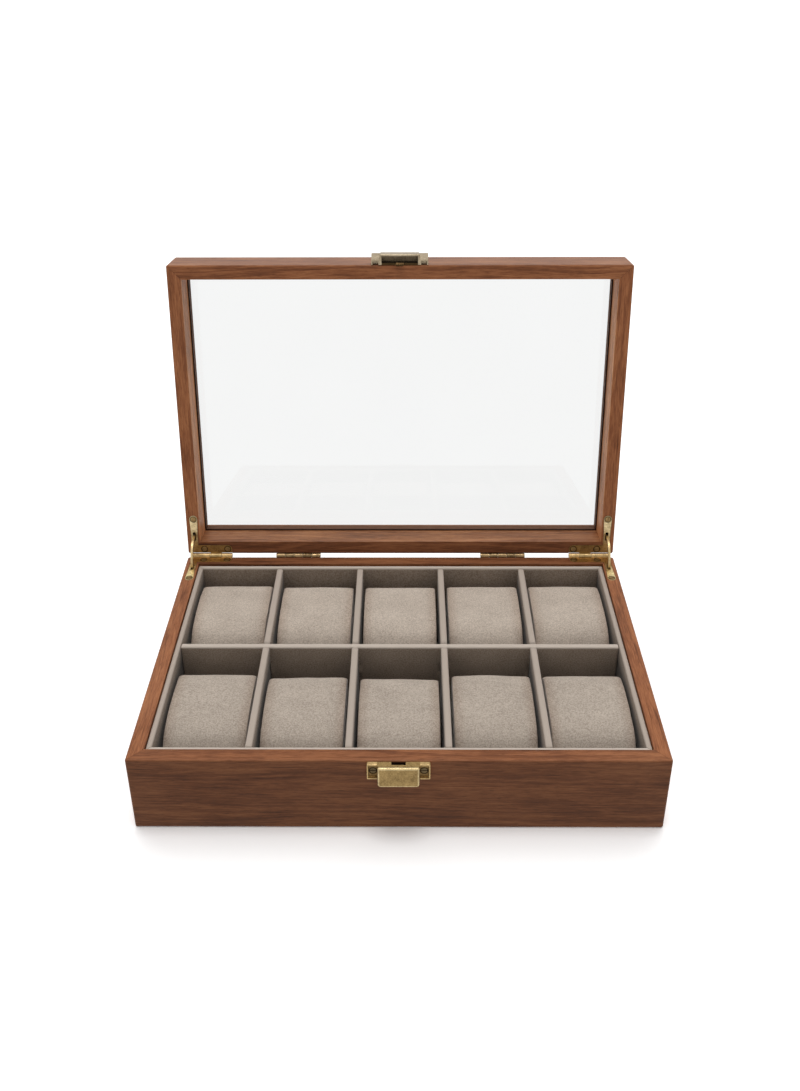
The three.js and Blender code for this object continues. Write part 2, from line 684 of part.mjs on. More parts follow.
const dividerX = (index) => (index - (DIVIDERS - 1) / 2) * CELL_PITCH;

function dividers() {
  const halving = (FLOOR_TOP + DIVIDER_TOP) / 2;
  const slot = DIVIDER_THICKNESS / 2 + FIT_GAP;
  const longGeometry = dividerBoard(LINING_INNER_X - FIT_GAP);
  longGeometry.translate(0, LONG_DIVIDER_Y, 0);
  let long = solidOf(longGeometry);
  for (let i = 0; i < DIVIDERS; i += 1) {
    const x = dividerX(i);
    const across = [x - slot, x + slot];
    const along = [LONG_DIVIDER_Y - slot, LONG_DIVIDER_Y + slot];
    long = cut(long, block(across, [-MARGIN, 2 * MARGIN], [0, halving + FIT_GAP]));
    const geometry = dividerBoard(LINING_INNER_Y - FIT_GAP);
    geometry.rotateZ(Math.PI / 2);
    geometry.translate(x, 0, 0);
    const notch = block([x - MARGIN, x + MARGIN], along, [halving, RIM + MARGIN]);
    addToCase("cross_divider_" + (i + 1), cut(solidOf(geometry), notch), COLOURS.suede);
  }
  addToCase("long_divider", long, COLOURS.suede);
}

// A watch pillow's section: a gently arched top between two shoulders, the front one fuller, and two
// small foot radii.
function pillowOutline() {
  const half = PILLOW_DEPTH / 2;
  const rear = PILLOW_REAR_SHOULDER_RADIUS;
  const front = PILLOW_FRONT_SHOULDER_RADIUS;
  const foot = PILLOW_FOOT_RADIUS;
  const crest = PILLOW_HEIGHT - PILLOW_ARCH;
  const points = [];
  const arc = (cy, cz, radius, from, steps) => {
    for (let i = 0; i <= steps; i += 1) {
      const angle = (from + i / steps) * (Math.PI / 2);
      points.push([cy + radius * Math.cos(angle), cz + radius * Math.sin(angle)]);
    }
  };
  arc(half - rear, crest - rear, rear, 0, PILLOW_SHOULDER_STEPS);
  for (let i = 1; i < PILLOW_TOP_STEPS; i += 1) {
    const share = (2 * i) / PILLOW_TOP_STEPS - 1;
    const rise = PILLOW_ARCH * (1 - share * share);
    points.push([(front - rear) / 2 - share * (half - (front + rear) / 2), crest + rise]);
  }
  arc(-half + front, crest - front, front, 1, PILLOW_SHOULDER_STEPS);
  arc(-half + foot, foot, foot, 2, 2);
  arc(half - foot, foot, foot, 3, 2);
  return points;
}

// The section carried across: its sides are rounded over and drawn in, and its top is crowned.
function pillowGeometry() {
  const outline = pillowOutline();
  const halfWidth = PILLOW_WIDTH / 2;
  const halfDepth = PILLOW_DEPTH / 2;
  const middleZ = PILLOW_HEIGHT / 2;
  const side = PILLOW_SIDE_RADIUS;
  const edge = [];
  for (let i = 0; i <= PILLOW_SIDE_STEPS; i += 1) {
    const angle = (i / PILLOW_SIDE_STEPS) * (Math.PI / 2);
    edge.push(halfWidth - side * (1 - Math.cos(angle)));
  }
  const inner = [halfWidth / 2, 0, -halfWidth / 2];
  const stations = [...edge, ...inner, ...edge.map((x) => -x).reverse()].reverse();
  const rings = stations.map((x) => {
    const into = Math.max(0, (Math.abs(x) - (halfWidth - side)) / side);
    const inset = side * (1 - Math.sqrt(Math.max(0, 1 - into * into)));
    const share = x / halfWidth;
    return outline.map(([y, z]) => {
      const end = y / halfDepth;
      const lift = z / PILLOW_HEIGHT;
      return [
        x * (1 - (PILLOW_DRAW_IN / halfWidth) * end * end),
        y * (1 - inset / halfDepth),
        middleZ + (z - middleZ) * (1 - inset / middleZ) - PILLOW_CROWN * share * share * lift,
      ];
    });
  });
  const count = outline.length;
  const index = [];
  for (let r = 0; r + 1 < rings.length; r += 1) {
    for (let i = 0; i < count; i += 1) {
      const a = r * count + i;
      const b = r * count + ((i + 1) % count);
      index.push(a, b, a + count, b, b + count, a + count);
    }
  }
  const last = (rings.length - 1) * count;
  for (let i = 1; i + 1 < count; i += 1) {
    index.push(0, i + 1, i);
    index.push(last, last + i, last + i + 1);
  }
  const geometry = new THREE.BufferGeometry();
  geometry.setAttribute("position", new THREE.Float32BufferAttribute(rings.flat(2), 3));
  geometry.setIndex(index);
  return geometry;
}

function pillows() {
  const rows = [
    ["rear", RIGHT, REAR_PILLOW_GAPS],
    ["front", LEFT, FRONT_PILLOW_GAPS],
  ];
  for (const [row, way, gaps] of rows) {
    gaps.forEach((gap, i) => {
      const y = way * (LINING_INNER_Y - gap - PILLOW_DEPTH / 2);
      const geometry = pillowGeometry();
      geometry.translate((i - (COLUMNS - 1) / 2) * CELL_PITCH, y, FLOOR_TOP + FIT_GAP);
      addToCase("watch_pillow_" + row + "_" + (i + 1), solidOf(geometry), COLOURS.pillow);
    });
  }
}

// Lid: mitred rails, the glass in their groove, and the strip below the glass

function lidFrame() {
  const heights = [LID_FACE, LID_TOP];
  const outer = roundedSlab(SIDE_FACE, REAR_FACE, heights, CORNER_RADIUS, EDGE_RADIUS);
  const innerX = SIDE_FACE - LID_RAIL;
  const innerY = REAR_FACE - LID_RAIL;
  const hollow = block([-innerX, innerX], [-innerY, innerY], [LID_FACE - MARGIN, LID_TOP + MARGIN]);
  const glassZ = [
    LID_FACE + GLASS_FROM_MATING_FACE,
    LID_FACE + GLASS_FROM_MATING_FACE + GLASS_THICKNESS,
  ];
  const grooveX = innerX + GLASS_GROOVE_DEPTH;
  const grooveY = innerY + GLASS_GROOVE_DEPTH;
  const groove = block(
    [-grooveX, grooveX],
    [-grooveY, grooveY],
    [glassZ[0] - SEAT_GAP, glassZ[1] + SEAT_GAP],
  );
  const ring = cut(outer, hollow, groove, ...hingeCuts(LID_FACE, 1));
  const rails = mitredPieces(ring, SIDE_FACE, REAR_FACE, [LID_FACE - MARGIN, LID_TOP + MARGIN]);
  for (const [side, rail] of Object.entries(rails)) {
    addToLid("lid_" + side + "_rail", rail, COLOURS.walnut);
  }
  const glassX = grooveX - FIT_GAP;
  const glassY = grooveY - FIT_GAP;
  addToLid("lid_glass", block([-glassX, glassX], [-glassY, glassY], glassZ), COLOURS.glass);
  glazingStrips(innerX - SEAT_GAP, innerY - SEAT_GAP, glassZ[0] - SEAT_GAP);
}

function glazingStrips(halfX, halfY, top) {
  const heights = [top - GLAZING_STRIP_HEIGHT, top];
  const thick = GLAZING_STRIP_THICKNESS;
  const inside = block(
    [-halfX + thick, halfX - thick],
    [-halfY + thick, halfY - thick],
    [heights[0] - THROUGH, heights[1] + THROUGH],
  );
  const ring = cut(block([-halfX, halfX], [-halfY, halfY], heights), inside);
  const strips = mitredPieces(ring, halfX, halfY, heights);
  for (const [side, strip] of Object.entries(strips)) {
    addToLid("glazing_strip_" + side, strip, COLOURS.strip);
  }
}

// Hinges on both sides

function hinges() {
  const [outer, middle, inner] = quadrantKnuckles();
  const caseLeaf = quadrantLeaf(RIM, -1, [outer, inner]);
  const lidLeaf = quadrantLeaf(LID_FACE, 1, [middle]);
  const quadrantPin = rod(
    QUADRANT_INNER_X + FIT_GAP,
    outer[1] - FIT_GAP,
    PIN_Y,
    PIN_Z,
    PIN_RADIUS,
  );
  const buttPin = rod(BUTT_X0 + FIT_GAP, BUTT_X1 - FIT_GAP, PIN_Y, PIN_Z, PIN_RADIUS);
  for (const [name, side] of [
    ["left", LEFT],
    ["right", RIGHT],
  ]) {
    addToCase("quadrant_hinge_" + name + "_case_leaf", onSide(side, caseLeaf), COLOURS.brass);
    addToCase("quadrant_hinge_" + name + "_pin", onSide(side, quadrantPin), COLOURS.brass);
    addToCase("quadrant_stay_" + name, onSide(side, quadrantStay()), COLOURS.brass);
    addToCase("butt_hinge_" + name + "_case_leaf", onSide(side, buttLeaf("case")), COLOURS.brass);
    addToCase("butt_hinge_" + name + "_pin", onSide(side, buttPin), COLOURS.brass);
    addToLid("quadrant_hinge_" + name + "_lid_leaf", onSide(side, lidLeaf), COLOURS.brass);
    addToLid("butt_hinge_" + name + "_lid_leaf", onSide(side, buttLeaf("lid")), COLOURS.brass);
  }
}

// Latch: a housing on the case, a rocking button in it, and a hooded keeper on the lid

const LATCH_TOP = RIM - LATCH_BELOW_RIM;
const LATCH_BOTTOM = LATCH_TOP - LATCH_BODY_HEIGHT;
const LATCH_FRONT = FRONT_FACE - LATCH_BODY_DEPTH;
const LATCH_PIN_Y = FRONT_FACE - LATCH_PIN_FROM_WALL;
const LATCH_PIN_Z = LATCH_TOP - LATCH_PIN_BELOW_TOP;
const LATCH_HALF = LATCH_BODY_WIDTH / 2;
const BUTTON_BACK = LATCH_FRONT - FIT_GAP;
const BUTTON_PRESS = Math.tan(radians(BUTTON_PRESS_ANGLE));
const HOOK_TIP = LID_FACE - HOOK_REACH;
const HOOK_BACK = FRONT_FACE - FIT_GAP;
const HOOK_FRONT = HOOK_BACK - HOOK_THICKNESS;
const NOSE_FRONT = HOOK_FRONT - HOOK_NOSE_DEPTH;
const NOSE_TOP = HOOK_TIP + HOOK_NOSE_HEIGHT;

// An ear with a raised rim on its outer, upper and lower sides, and a screw hole in its floor.
function latchEar() {
  const x0 = LATCH_HALF - LATCH_SHEET;
  const x1 = LATCH_HALF + LATCH_EAR_WIDTH;
  const z0 = LATCH_TOP - LATCH_EAR_HEIGHT;
  const outline = roundedRectangle([x0, x1], [z0, LATCH_TOP], LATCH_CORNER_RADIUS);
  const plate = plateForward(outline, FRONT_FACE, LATCH_EAR_RIM_HEIGHT, LATCH_CORNER_RADIUS / 2);
  const rim = LATCH_EAR_RIM_WIDTH;
  const tray = block(
    [x0 - THROUGH, x1 - rim],
    [FRONT_FACE - LATCH_EAR_RIM_HEIGHT - THROUGH, FRONT_FACE - LATCH_SHEET],
    [z0 + rim, LATCH_TOP - rim],
  );
  const hole = countersunkHole(
    [(LATCH_HALF + x1 - rim) / 2, FRONT_FACE - LATCH_SHEET, (z0 + LATCH_TOP) / 2],
    [0, -1, 0],
    LATCH_SHEET + THROUGH,
  );
  return cut(plate, tray, hole);
}

// The housing's side, cut away below the pin so that the button can rock in.
function housingSide() {
  const low = LATCH_BOTTOM + BUTTON_BEVEL;
  const rock = (LATCH_PIN_Z - low) * BUTTON_PRESS;
  return [
    [FRONT_FACE, low],
    [FRONT_FACE, LATCH_TOP],
    [LATCH_FRONT, LATCH_TOP],
    [LATCH_FRONT, LATCH_PIN_Z],
    [LATCH_FRONT + rock, low],
  ];
}

function latchHousing() {
  const top = block(
    [-LATCH_HALF, LATCH_HALF],
    [LATCH_FRONT, FRONT_FACE],
    [LATCH_TOP - LATCH_SHEET, LATCH_TOP],
  );
  const right = joined(prismX(housingSide(), LATCH_HALF - LATCH_SHEET, LATCH_HALF), latchEar());
  const housing = joined(top, right, mirrored(right));
  const slot = block(
    [-LATCH_SLOT_WIDTH / 2, LATCH_SLOT_WIDTH / 2],
    [FRONT_FACE - LATCH_SLOT_DEPTH, FRONT_FACE + THROUGH],
    [LATCH_TOP - LATCH_SHEET - THROUGH, LATCH_TOP + THROUGH],
  );
  const bore = rod(
    -LATCH_HALF - THROUGH,
    LATCH_HALF + THROUGH,
    LATCH_PIN_Y,
    LATCH_PIN_Z,
    LATCH_PIN_RADIUS + FIT_GAP,
  );
  return cut(housing, slot, bore);
}

function latchButton() {
  const outline = roundedRectangle(
    [-LATCH_HALF, LATCH_HALF],
    [LATCH_BOTTOM, LATCH_TOP],
    BUTTON_CORNER_RADIUS,
    BUTTON_TOP_RADIUS,
  );
  const face = plateForward(outline, BUTTON_BACK, BUTTON_THICKNESS, BUTTON_BEVEL);
  const lugOuter = LATCH_HALF - LATCH_SHEET - FIT_GAP;
  const lugRadius = LATCH_PIN_RADIUS + FIT_GAP + LATCH_SHEET / 2;
  const lug = joined(
    block(
      [lugOuter - LATCH_LUG_THICKNESS, lugOuter],
      [BUTTON_BACK - THROUGH, LATCH_PIN_Y],
      [LATCH_PIN_Z - lugRadius, LATCH_PIN_Z + lugRadius],
    ),
    rod(lugOuter - LATCH_LUG_THICKNESS, lugOuter, LATCH_PIN_Y, LATCH_PIN_Z, lugRadius),
  );
  const catchLow = NOSE_TOP + CATCH_GAP;
  const ledge = block(
    [-CATCH_WIDTH / 2, CATCH_WIDTH / 2],
    [BUTTON_BACK - THROUGH, NOSE_FRONT + CATCH_BITE],
    [catchLow, catchLow + CATCH_HEIGHT],
  );
  const bore = rod(
    -LATCH_HALF,
    LATCH_HALF,
    LATCH_PIN_Y,
    LATCH_PIN_Z,
    LATCH_PIN_RADIUS + FIT_GAP,
  );
  return cut(joined(face, lug, mirrored(lug), ledge), bore);
}

// A bent leaf: its foot lies against the wood, and its free end presses the button's lower half.
function latchSpring() {
  const footZ = LATCH_PIN_Z - LATCH_PIN_RADIUS - 2 * FIT_GAP;
  const endZ = LATCH_BOTTOM + 2 * BUTTON_BEVEL;
  const bendZ = (footZ + endZ) / 2;
  const backY = FRONT_FACE - FIT_GAP;
  const endY = BUTTON_BACK + FIT_GAP;
  const outline = [
    [backY, footZ],
    [backY - SPRING_SHEET, footZ],
    [backY - SPRING_SHEET, bendZ],
    [endY, endZ + SPRING_SHEET],
    [endY, endZ],
    [backY, bendZ - SPRING_SHEET],
  ];
  return prismX(outline, -SPRING_WIDTH / 2, SPRING_WIDTH / 2);
}

// The two screws of the housing, and the pilot holes that they leave in the front wall.
const LATCH_SCREW_X = LATCH_HALF + (LATCH_EAR_WIDTH - LATCH_EAR_RIM_WIDTH) / 2;
const LATCH_SCREW_Z = LATCH_TOP - LATCH_EAR_HEIGHT / 2;

function latchScrewSolid(grow) {
  const shank = LATCH_SCREW_SHANK_RADIUS + grow;
  const profile = [
    [0, -LATCH_SCREW_LENGTH - grow],
    [shank, -LATCH_SCREW_LENGTH - grow],
    [shank, -SCREW_SINK_DEPTH],
    [LATCH_SCREW_HEAD_RADIUS + grow, 0],
    [0, 0],
  ];
  return turned(profile, [LATCH_SCREW_X, FRONT_FACE - LATCH_SHEET, LATCH_SCREW_Z], [0, -1, 0]);
}

function latchScrew() {
  const half = LATCH_SCREW_SLOT / 2;
  const slot = block(
    [LATCH_SCREW_X - MARGIN, LATCH_SCREW_X + MARGIN],
    [FRONT_FACE - LATCH_SHEET - THROUGH, FRONT_FACE - LATCH_SHEET + LATCH_SCREW_SLOT],
    [LATCH_SCREW_Z - half, LATCH_SCREW_Z + half],
  );
  return cut(latchScrewSolid(0), slot);
}

function latchPin() {
  const half = LATCH_HALF - FIT_GAP;
  return rod(-half, half, LATCH_PIN_Y, LATCH_PIN_Z, LATCH_PIN_RADIUS);
}

// The keeper's ear rises away from the lid's edge and is hollow underneath at that edge.
function keeperEar(back) {
  const x0 = KEEPER_HOOD_WIDTH / 2 - KEEPER_SHEET;
  const x1 = KEEPER_HOOD_WIDTH / 2 + KEEPER_EAR_WIDTH;
  const top = LID_FACE + KEEPER_HOOD_HEIGHT;
  const wedge = [
    [back, LID_FACE + SEAT_GAP],
    [back, top],
    [FRONT_FACE - KEEPER_EAR_HIGH, top],
    [FRONT_FACE - KEEPER_EAR_HIGH, top - 2 * KEEPER_SHEET],
    [FRONT_FACE - KEEPER_EAR_LOW, LID_FACE + SEAT_GAP],
  ];
  const hollow = [
    [back + THROUGH, LID_FACE - THROUGH],
    [back + THROUGH, LID_FACE + KEEPER_HOOD_HEIGHT / 2],
    [FRONT_FACE - KEEPER_EAR_LOW + KEEPER_EAR_FOOT_SHEET, LID_FACE + KEEPER_HOOD_HEIGHT / 2],
    [FRONT_FACE - KEEPER_EAR_LOW + KEEPER_EAR_FOOT_SHEET, LID_FACE - THROUGH],
  ];
  const sheet = KEEPER_EAR_FOOT_SHEET;
  return cut(prismX(wedge, x0, x1), prismX(hollow, KEEPER_HOOD_WIDTH / 2 + sheet, x1 - sheet));
}

function latchKeeper() {
  const back = FRONT_FACE - SEAT_GAP;
  const half = KEEPER_HOOD_WIDTH / 2;
  const top = LID_FACE + KEEPER_HOOD_HEIGHT;
  const outline = roundedRectangle([-half, half], [LID_FACE, top], KEEPER_CORNER_RADIUS);
  const hood = plateForward(outline, back, KEEPER_HOOD_DEPTH - SEAT_GAP, LATCH_CORNER_RADIUS);
  const hollow = block(
    [-half + KEEPER_SHEET, half - KEEPER_SHEET],
    [FRONT_FACE - KEEPER_HOOD_DEPTH + KEEPER_SHEET, HOOK_FRONT],
    [LID_FACE - MARGIN, top - KEEPER_SHEET],
  );
  const ear = keeperEar(back);
  const tongue = block([-HOOK_WIDTH / 2, HOOK_WIDTH / 2], [HOOK_FRONT, HOOK_BACK], [HOOK_TIP, top - THROUGH]);
  const nose = prismX(
    [
      [HOOK_FRONT + HOOK_THICKNESS / 2, HOOK_TIP],
      [HOOK_FRONT + HOOK_THICKNESS / 2, NOSE_TOP],
      [NOSE_FRONT, NOSE_TOP],
      [HOOK_FRONT, HOOK_TIP],
    ],
    -HOOK_WIDTH / 2,
    HOOK_WIDTH / 2,
  );
  return joined(cut(joined(hood, ear, mirrored(ear)), hollow), tongue, nose);
}

function latch() {
  addToCase("latch_housing", latchHousing(), COLOURS.brass);
  addToCase("latch_screw_left", mirrored(latchScrew()), COLOURS.brass);
  addToCase("latch_screw_right", latchScrew(), COLOURS.brass);
  addToCase("latch_pin", latchPin(), COLOURS.steel);
  addToCase("latch_spring", latchSpring(), COLOURS.steel);
  addToCase("latch_button", latchButton(), COLOURS.brass);
  addToLid("latch_keeper", latchKeeper(), COLOURS.brass);
}

caseWalls();
caseBottom();
linings();
dividers();
pillows();
lidFrame();
hinges();
latch();

export default organizer;
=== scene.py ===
"""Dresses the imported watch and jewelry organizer: walnut, suede, antique brass and glass, with the
photograph's camera, a white floor and soft light from above. Metres, +Z up, the front faces -Y.
The lengths written here are millimetres, apart from those whose name ends in _M."""

import itertools
import math

import bmesh
import bpy
from mathutils import Matrix, Vector, noise


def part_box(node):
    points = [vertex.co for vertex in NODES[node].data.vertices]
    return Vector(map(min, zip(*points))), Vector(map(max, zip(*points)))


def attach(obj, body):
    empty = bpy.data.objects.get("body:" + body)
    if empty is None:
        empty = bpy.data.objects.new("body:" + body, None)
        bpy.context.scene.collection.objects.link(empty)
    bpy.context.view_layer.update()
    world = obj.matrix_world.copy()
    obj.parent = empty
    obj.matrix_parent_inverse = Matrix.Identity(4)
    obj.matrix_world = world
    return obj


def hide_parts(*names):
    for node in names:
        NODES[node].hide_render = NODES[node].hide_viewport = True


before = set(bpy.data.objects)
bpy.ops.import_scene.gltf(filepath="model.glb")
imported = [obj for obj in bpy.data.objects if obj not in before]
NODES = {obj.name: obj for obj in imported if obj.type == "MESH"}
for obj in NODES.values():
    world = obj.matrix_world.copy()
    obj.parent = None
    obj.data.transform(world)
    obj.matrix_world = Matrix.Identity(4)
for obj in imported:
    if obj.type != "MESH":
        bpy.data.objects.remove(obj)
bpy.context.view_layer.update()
SCENE = bpy.context.scene
MM = 0.001

# camera

PHOTO_HEIGHT_PX = 1091
FOCAL_PX = 1106.833
CENTRE_ABOVE_MIDDLE_PX = 60.073
SENSOR_MM = 36
CAMERA_AT = (4.9934, -608.9163, 526.2089)
CAMERA_DOWN_DEG = 29.4517
CAMERA_YAW_DEG = -0.4071
CAMERA_ROLL_DEG = -0.2011
CAMERA_SEES_M = (0.01, 200)


def make_camera():
    data = bpy.data.cameras.new("camera")
    data.sensor_width = SENSOR_MM
    data.lens = FOCAL_PX * SENSOR_MM / PHOTO_HEIGHT_PX
    data.shift_y = -CENTRE_ABOVE_MIDDLE_PX / PHOTO_HEIGHT_PX
    data.clip_start, data.clip_end = CAMERA_SEES_M
    camera = bpy.data.objects.new("camera", data)
    SCENE.collection.objects.link(camera)
    down, yaw, roll = (math.radians(v) for v in (CAMERA_DOWN_DEG, CAMERA_YAW_DEG, CAMERA_ROLL_DEG))
    forward = Vector(
        (math.sin(yaw) * math.cos(down), math.cos(yaw) * math.cos(down), -math.sin(down))
    )
    level = Vector((math.cos(yaw), -math.sin(yaw), 0))
    upward = level.cross(forward)
    right = level * math.cos(roll) + upward * math.sin(roll)
    top = upward * math.cos(roll) - level * math.sin(roll)
    turn = Matrix((right, top, -forward)).transposed().to_4x4()
    camera.matrix_world = Matrix.Translation(Vector(CAMERA_AT) * MM) @ turn
    SCENE.camera = camera


make_camera()

# places, as in the part's source

WALLS = ("front", "rear", "left", "right")
PIN = Vector((0, 113.35, 55.6))
PIN_M = PIN * MM
LID_OPEN_DEG = 97.9
FRONT_Y = -111.75
SIDE_X = 165.0
RAIL_INNER_X = 154.9
REAR_INNER_Y = 101.65
STRIP_EDGE_Z = 77.9
FLOOR_UNDERSIDE = 5.0
FLOOR_TOP = 7
LINING_TOP = 54.1
LINING_OUTER = (154.8, 101.55)
LINING_INNER = (151.4, 98.15)
DIVIDER_TOP = 53.8
DIVIDER_THICKNESS = 4.5
HALVING = (FLOOR_TOP + DIVIDER_TOP) / 2
FIT_GAP = 0.3
LONG_DIVIDER_Y = 2.8
CELL_PITCH = 61.46
COLUMNS = 5
DIVIDER_X = [(i - (COLUMNS - 2) / 2) * CELL_PITCH for i in range(COLUMNS - 1)]

# node graphs

NOISE_RANGE = (0.3, 0.7)


class Graph:
    """A material's node tree, with short calls for the nodes used here."""

    def __init__(self, name):
        self.material = bpy.data.materials.new(name)
        self.material.use_nodes = True
        self.tree = self.material.node_tree
        self.tree.nodes.clear()
        self.out = self.add("ShaderNodeOutputMaterial")
        self.shader = self.add("ShaderNodeBsdfPrincipled")
        self.join(self.shader.outputs[0], self.out.inputs["Surface"])

    def add(self, kind, **settings):
        node = self.tree.nodes.new(kind)
        for key, value in settings.items():
            setattr(node, key, value)
        return node

    def join(self, source, socket):
        self.tree.links.new(source, socket)

    def feed(self, socket, value):
        if isinstance(value, bpy.types.NodeSocket):
            self.join(value, socket)
        else:
            socket.default_value = value

    def maths(self, operation, a, b=0.0):
        node = self.add("ShaderNodeMath", operation=operation)
        self.feed(node.inputs[0], a)
        self.feed(node.inputs[1], b)
        return node.outputs[0]

    def weighted(self, *terms):
        """The sum of some values, each times its weight."""
        total = None
        for value, weight in terms:
            part = self.maths("MULTIPLY", value, weight)
            total = part if total is None else self.maths("ADD", total, part)
        return total

    def square_distance(self, u, v):
        return self.maths("ADD", self.maths("MULTIPLY", u, u), self.maths("MULTIPLY", v, v))

    def span(self, value, low, high, to_low=0.0, to_high=1.0):
        node = self.add("ShaderNodeMapRange", clamp=True)
        for socket, v in zip(node.inputs, (value, low, high, to_low, to_high)):
            self.feed(socket, v)
        return node.outputs[0]

    def mix(self, share, a, b, blend="MIX"):
        node = self.add("ShaderNodeMix", data_type="RGBA", blend_type=blend)
        self.feed(node.inputs[0], share)
        self.feed(node.inputs[6], (*a, 1) if isinstance(a, tuple) else a)
        self.feed(node.inputs[7], (*b, 1) if isinstance(b, tuple) else b)
        return node.outputs[2]

    def tint(self, colour, place, tones):
        """The colour, times each tone's factor at that tone's spot."""
        for spot, factor in tones:
            toned = self.mix(1.0, colour, factor, "MULTIPLY")
            colour = self.mix(spot(self, place), colour, toned)
        return colour

    def place(self, lid=False):
        """The piece's own place in millimetres; the lid's is turned back to the closed box."""
        coordinates = self.add("ShaderNodeTexCoord")
        node = self.add("ShaderNodeMapping", vector_type="TEXTURE")
        node.inputs["Scale"].default_value = (MM, MM, MM)
        self.join(coordinates.outputs["Object"], node.inputs["Vector"])
        if not lid:
            return node.outputs[0]
        node.inputs["Location"].default_value = PIN_M
        node.inputs["Rotation"].default_value = (math.radians(-LID_OPEN_DEG), 0, 0)
        back = self.add("ShaderNodeVectorMath", operation="ADD")
        self.join(node.outputs[0], back.inputs[0])
        back.inputs[1].default_value = PIN
        return back.outputs[0]

    def xyz(self, place):
        node = self.add("ShaderNodeSeparateXYZ")
        self.join(place, node.inputs[0])
        return tuple(node.outputs)

    def noise(self, dimensions, socket, source, detail, roughness):
        node = self.add("ShaderNodeTexNoise", noise_dimensions=dimensions)
        self.join(source, node.inputs[socket])
        for key, value in (("Scale", 1), ("Detail", detail), ("Roughness", roughness)):
            node.inputs[key].default_value = value
        return node.outputs[0]

    def layer(self, place, sizes, detail, roughness, offset=(0, 0, 0)):
        """Noise whose features have the given sizes (millimetres) along the axes."""
        node = self.add("ShaderNodeMapping")
        node.inputs["Location"].default_value = offset
        node.inputs["Scale"].default_value = tuple(1 / s for s in sizes)
        self.join(place, node.inputs["Vector"])
        return self.noise("3D", "Vector", node.outputs[0], detail, roughness)

    def bump(self, height, strength, depth_mm):
        node = self.add("ShaderNodeBump")
        node.inputs["Strength"].default_value = strength
        node.inputs["Distance"].default_value = depth_mm * MM
        self.join(height, node.inputs["Height"])
        self.join(node.outputs[0], self.shader.inputs["Normal"])

    def set(self, **values):
        for key, value in values.items():
            self.feed(self.shader.inputs[key.replace("_", " ")], value)


# spots: functions of a graph and a place that give 1 on some part of a piece, and 0 elsewhere


def along(axis, low, high, from_value=1.0, to_value=0.0):
    """A spot that fades along an axis from low to high; x counts from the middle, both ways."""

    def spot(g, place):
        value = g.xyz(place)[axis]
        if axis == 0:
            value = g.maths("ABSOLUTE", value)
        return g.span(value, low, high, from_value, to_value)

    return spot


def box_spot(across, up, soft):
    """A spot inside a box that is mirrored in x. across is its least and greatest distance from the
    middle (the least is below 0 where it crosses the middle), up its span in z."""

    def spot(g, place):
        x, _, z = g.xyz(place)
        x = g.maths("ABSOLUTE", x)
        side = g.maths(
            "MINIMUM", g.maths("SUBTRACT", across[1], x), g.maths("SUBTRACT", x, across[0])
        )
        end = g.maths("MINIMUM", g.maths("SUBTRACT", z, up[0]), g.maths("SUBTRACT", up[1], z))
        return g.span(g.maths("MINIMUM", side, end), 0.0, soft)

    return spot


# materials

WALNUT_TONES = ((0.078, 0.026, 0.011), (0.22, 0.078, 0.031), (0.39, 0.158, 0.066))
# Each layer of the wood: its size along the grain and across it, its detail and roughness.
WOOD_WANDER = (170, 38, 2, 0.4)
WOOD_FIGURE = (60, 13, 4, 0.66)
WOOD_FIBRE = (10, 0.45, 3, 0.68)
WOOD_PORES = (5.5, 0.36, 1, 0.5)
WOOD_STREAK = (52, 2.2, 2, 0.5)
# How fast the growth bands change across the grain and in depth, and how far they wander.
BANDS_ACROSS = 0.34
BANDS_DEEP = 0.36
BANDS_WANDER = 11.0
BANDS_NOISE = (3.5, 0.62)
WOOD_WEIGHTS = (0.24, 0.44, 0.42, -0.16)
DARK_TO_MIDDLE = (0.36, 0.55)
MIDDLE_TO_LIGHT = (0.53, 0.73)
STREAK_SPAN = (0.6, 0.78)
PORE_SPAN = (0.63, 0.74, 0.0, 0.5)
PORE_SHADE = 0.45
PORE_DEPTH = -1.6
# What a seed moves the layers by, and the bands.
WOOD_SHIFT = (7.31, 3.17, 5.53)
BANDS_SHIFT = 11.7


def walnut(name, grain, seed, lid=False, shade=1.0, tilt=0.0, tones=()):
    """Walnut with its grain along X or Y: wandering growth bands, broad figure, fine fibres, pores.
    tones are spots on it, each with the factor for the wood's colour there."""
    g = Graph(name)
    place = g.place(lid)
    axis = 0 if grain == "X" else 1
    offset = tuple(seed * s for s in WOOD_SHIFT)

    def layer(long, across, detail, roughness):
        sizes = [across, across, across]
        sizes[axis] = long
        return g.layer(place, sizes, detail, roughness, offset)

    split = g.xyz(place)
    level = g.weighted(
        (split[1 - axis], BANDS_ACROSS),
        (split[2], BANDS_DEEP),
        (layer(*WOOD_WANDER), BANDS_WANDER),
        (split[axis], tilt),
    )
    bands = g.noise("1D", "W", g.maths("ADD", level, seed * BANDS_SHIFT), *BANDS_NOISE)
    figure = layer(*WOOD_FIGURE)
    fibre = layer(*WOOD_FIBRE)
    streak = g.span(layer(*WOOD_STREAK), *STREAK_SPAN)
    tone = g.weighted(*zip((bands, figure, fibre, streak), WOOD_WEIGHTS))
    dark, middle, light = (tuple(c * shade for c in k) for k in WALNUT_TONES)
    colour = g.mix(g.span(tone, *DARK_TO_MIDDLE), dark, middle)
    colour = g.mix(g.span(tone, *MIDDLE_TO_LIGHT), colour, light)
    pore = g.span(layer(*WOOD_PORES), *PORE_SPAN)
    colour = g.mix(pore, colour, tuple(c * PORE_SHADE for c in dark))
    g.set(
        Base_Color=g.tint(colour, place, tones),
        Roughness=g.span(fibre, *NOISE_RANGE, 0.54, 0.42),
        Specular_IOR_Level=0.18,
    )
    g.bump(g.weighted((fibre, 1.0), (pore, PORE_DEPTH)), strength=0.35, depth_mm=0.05)
    return g.material


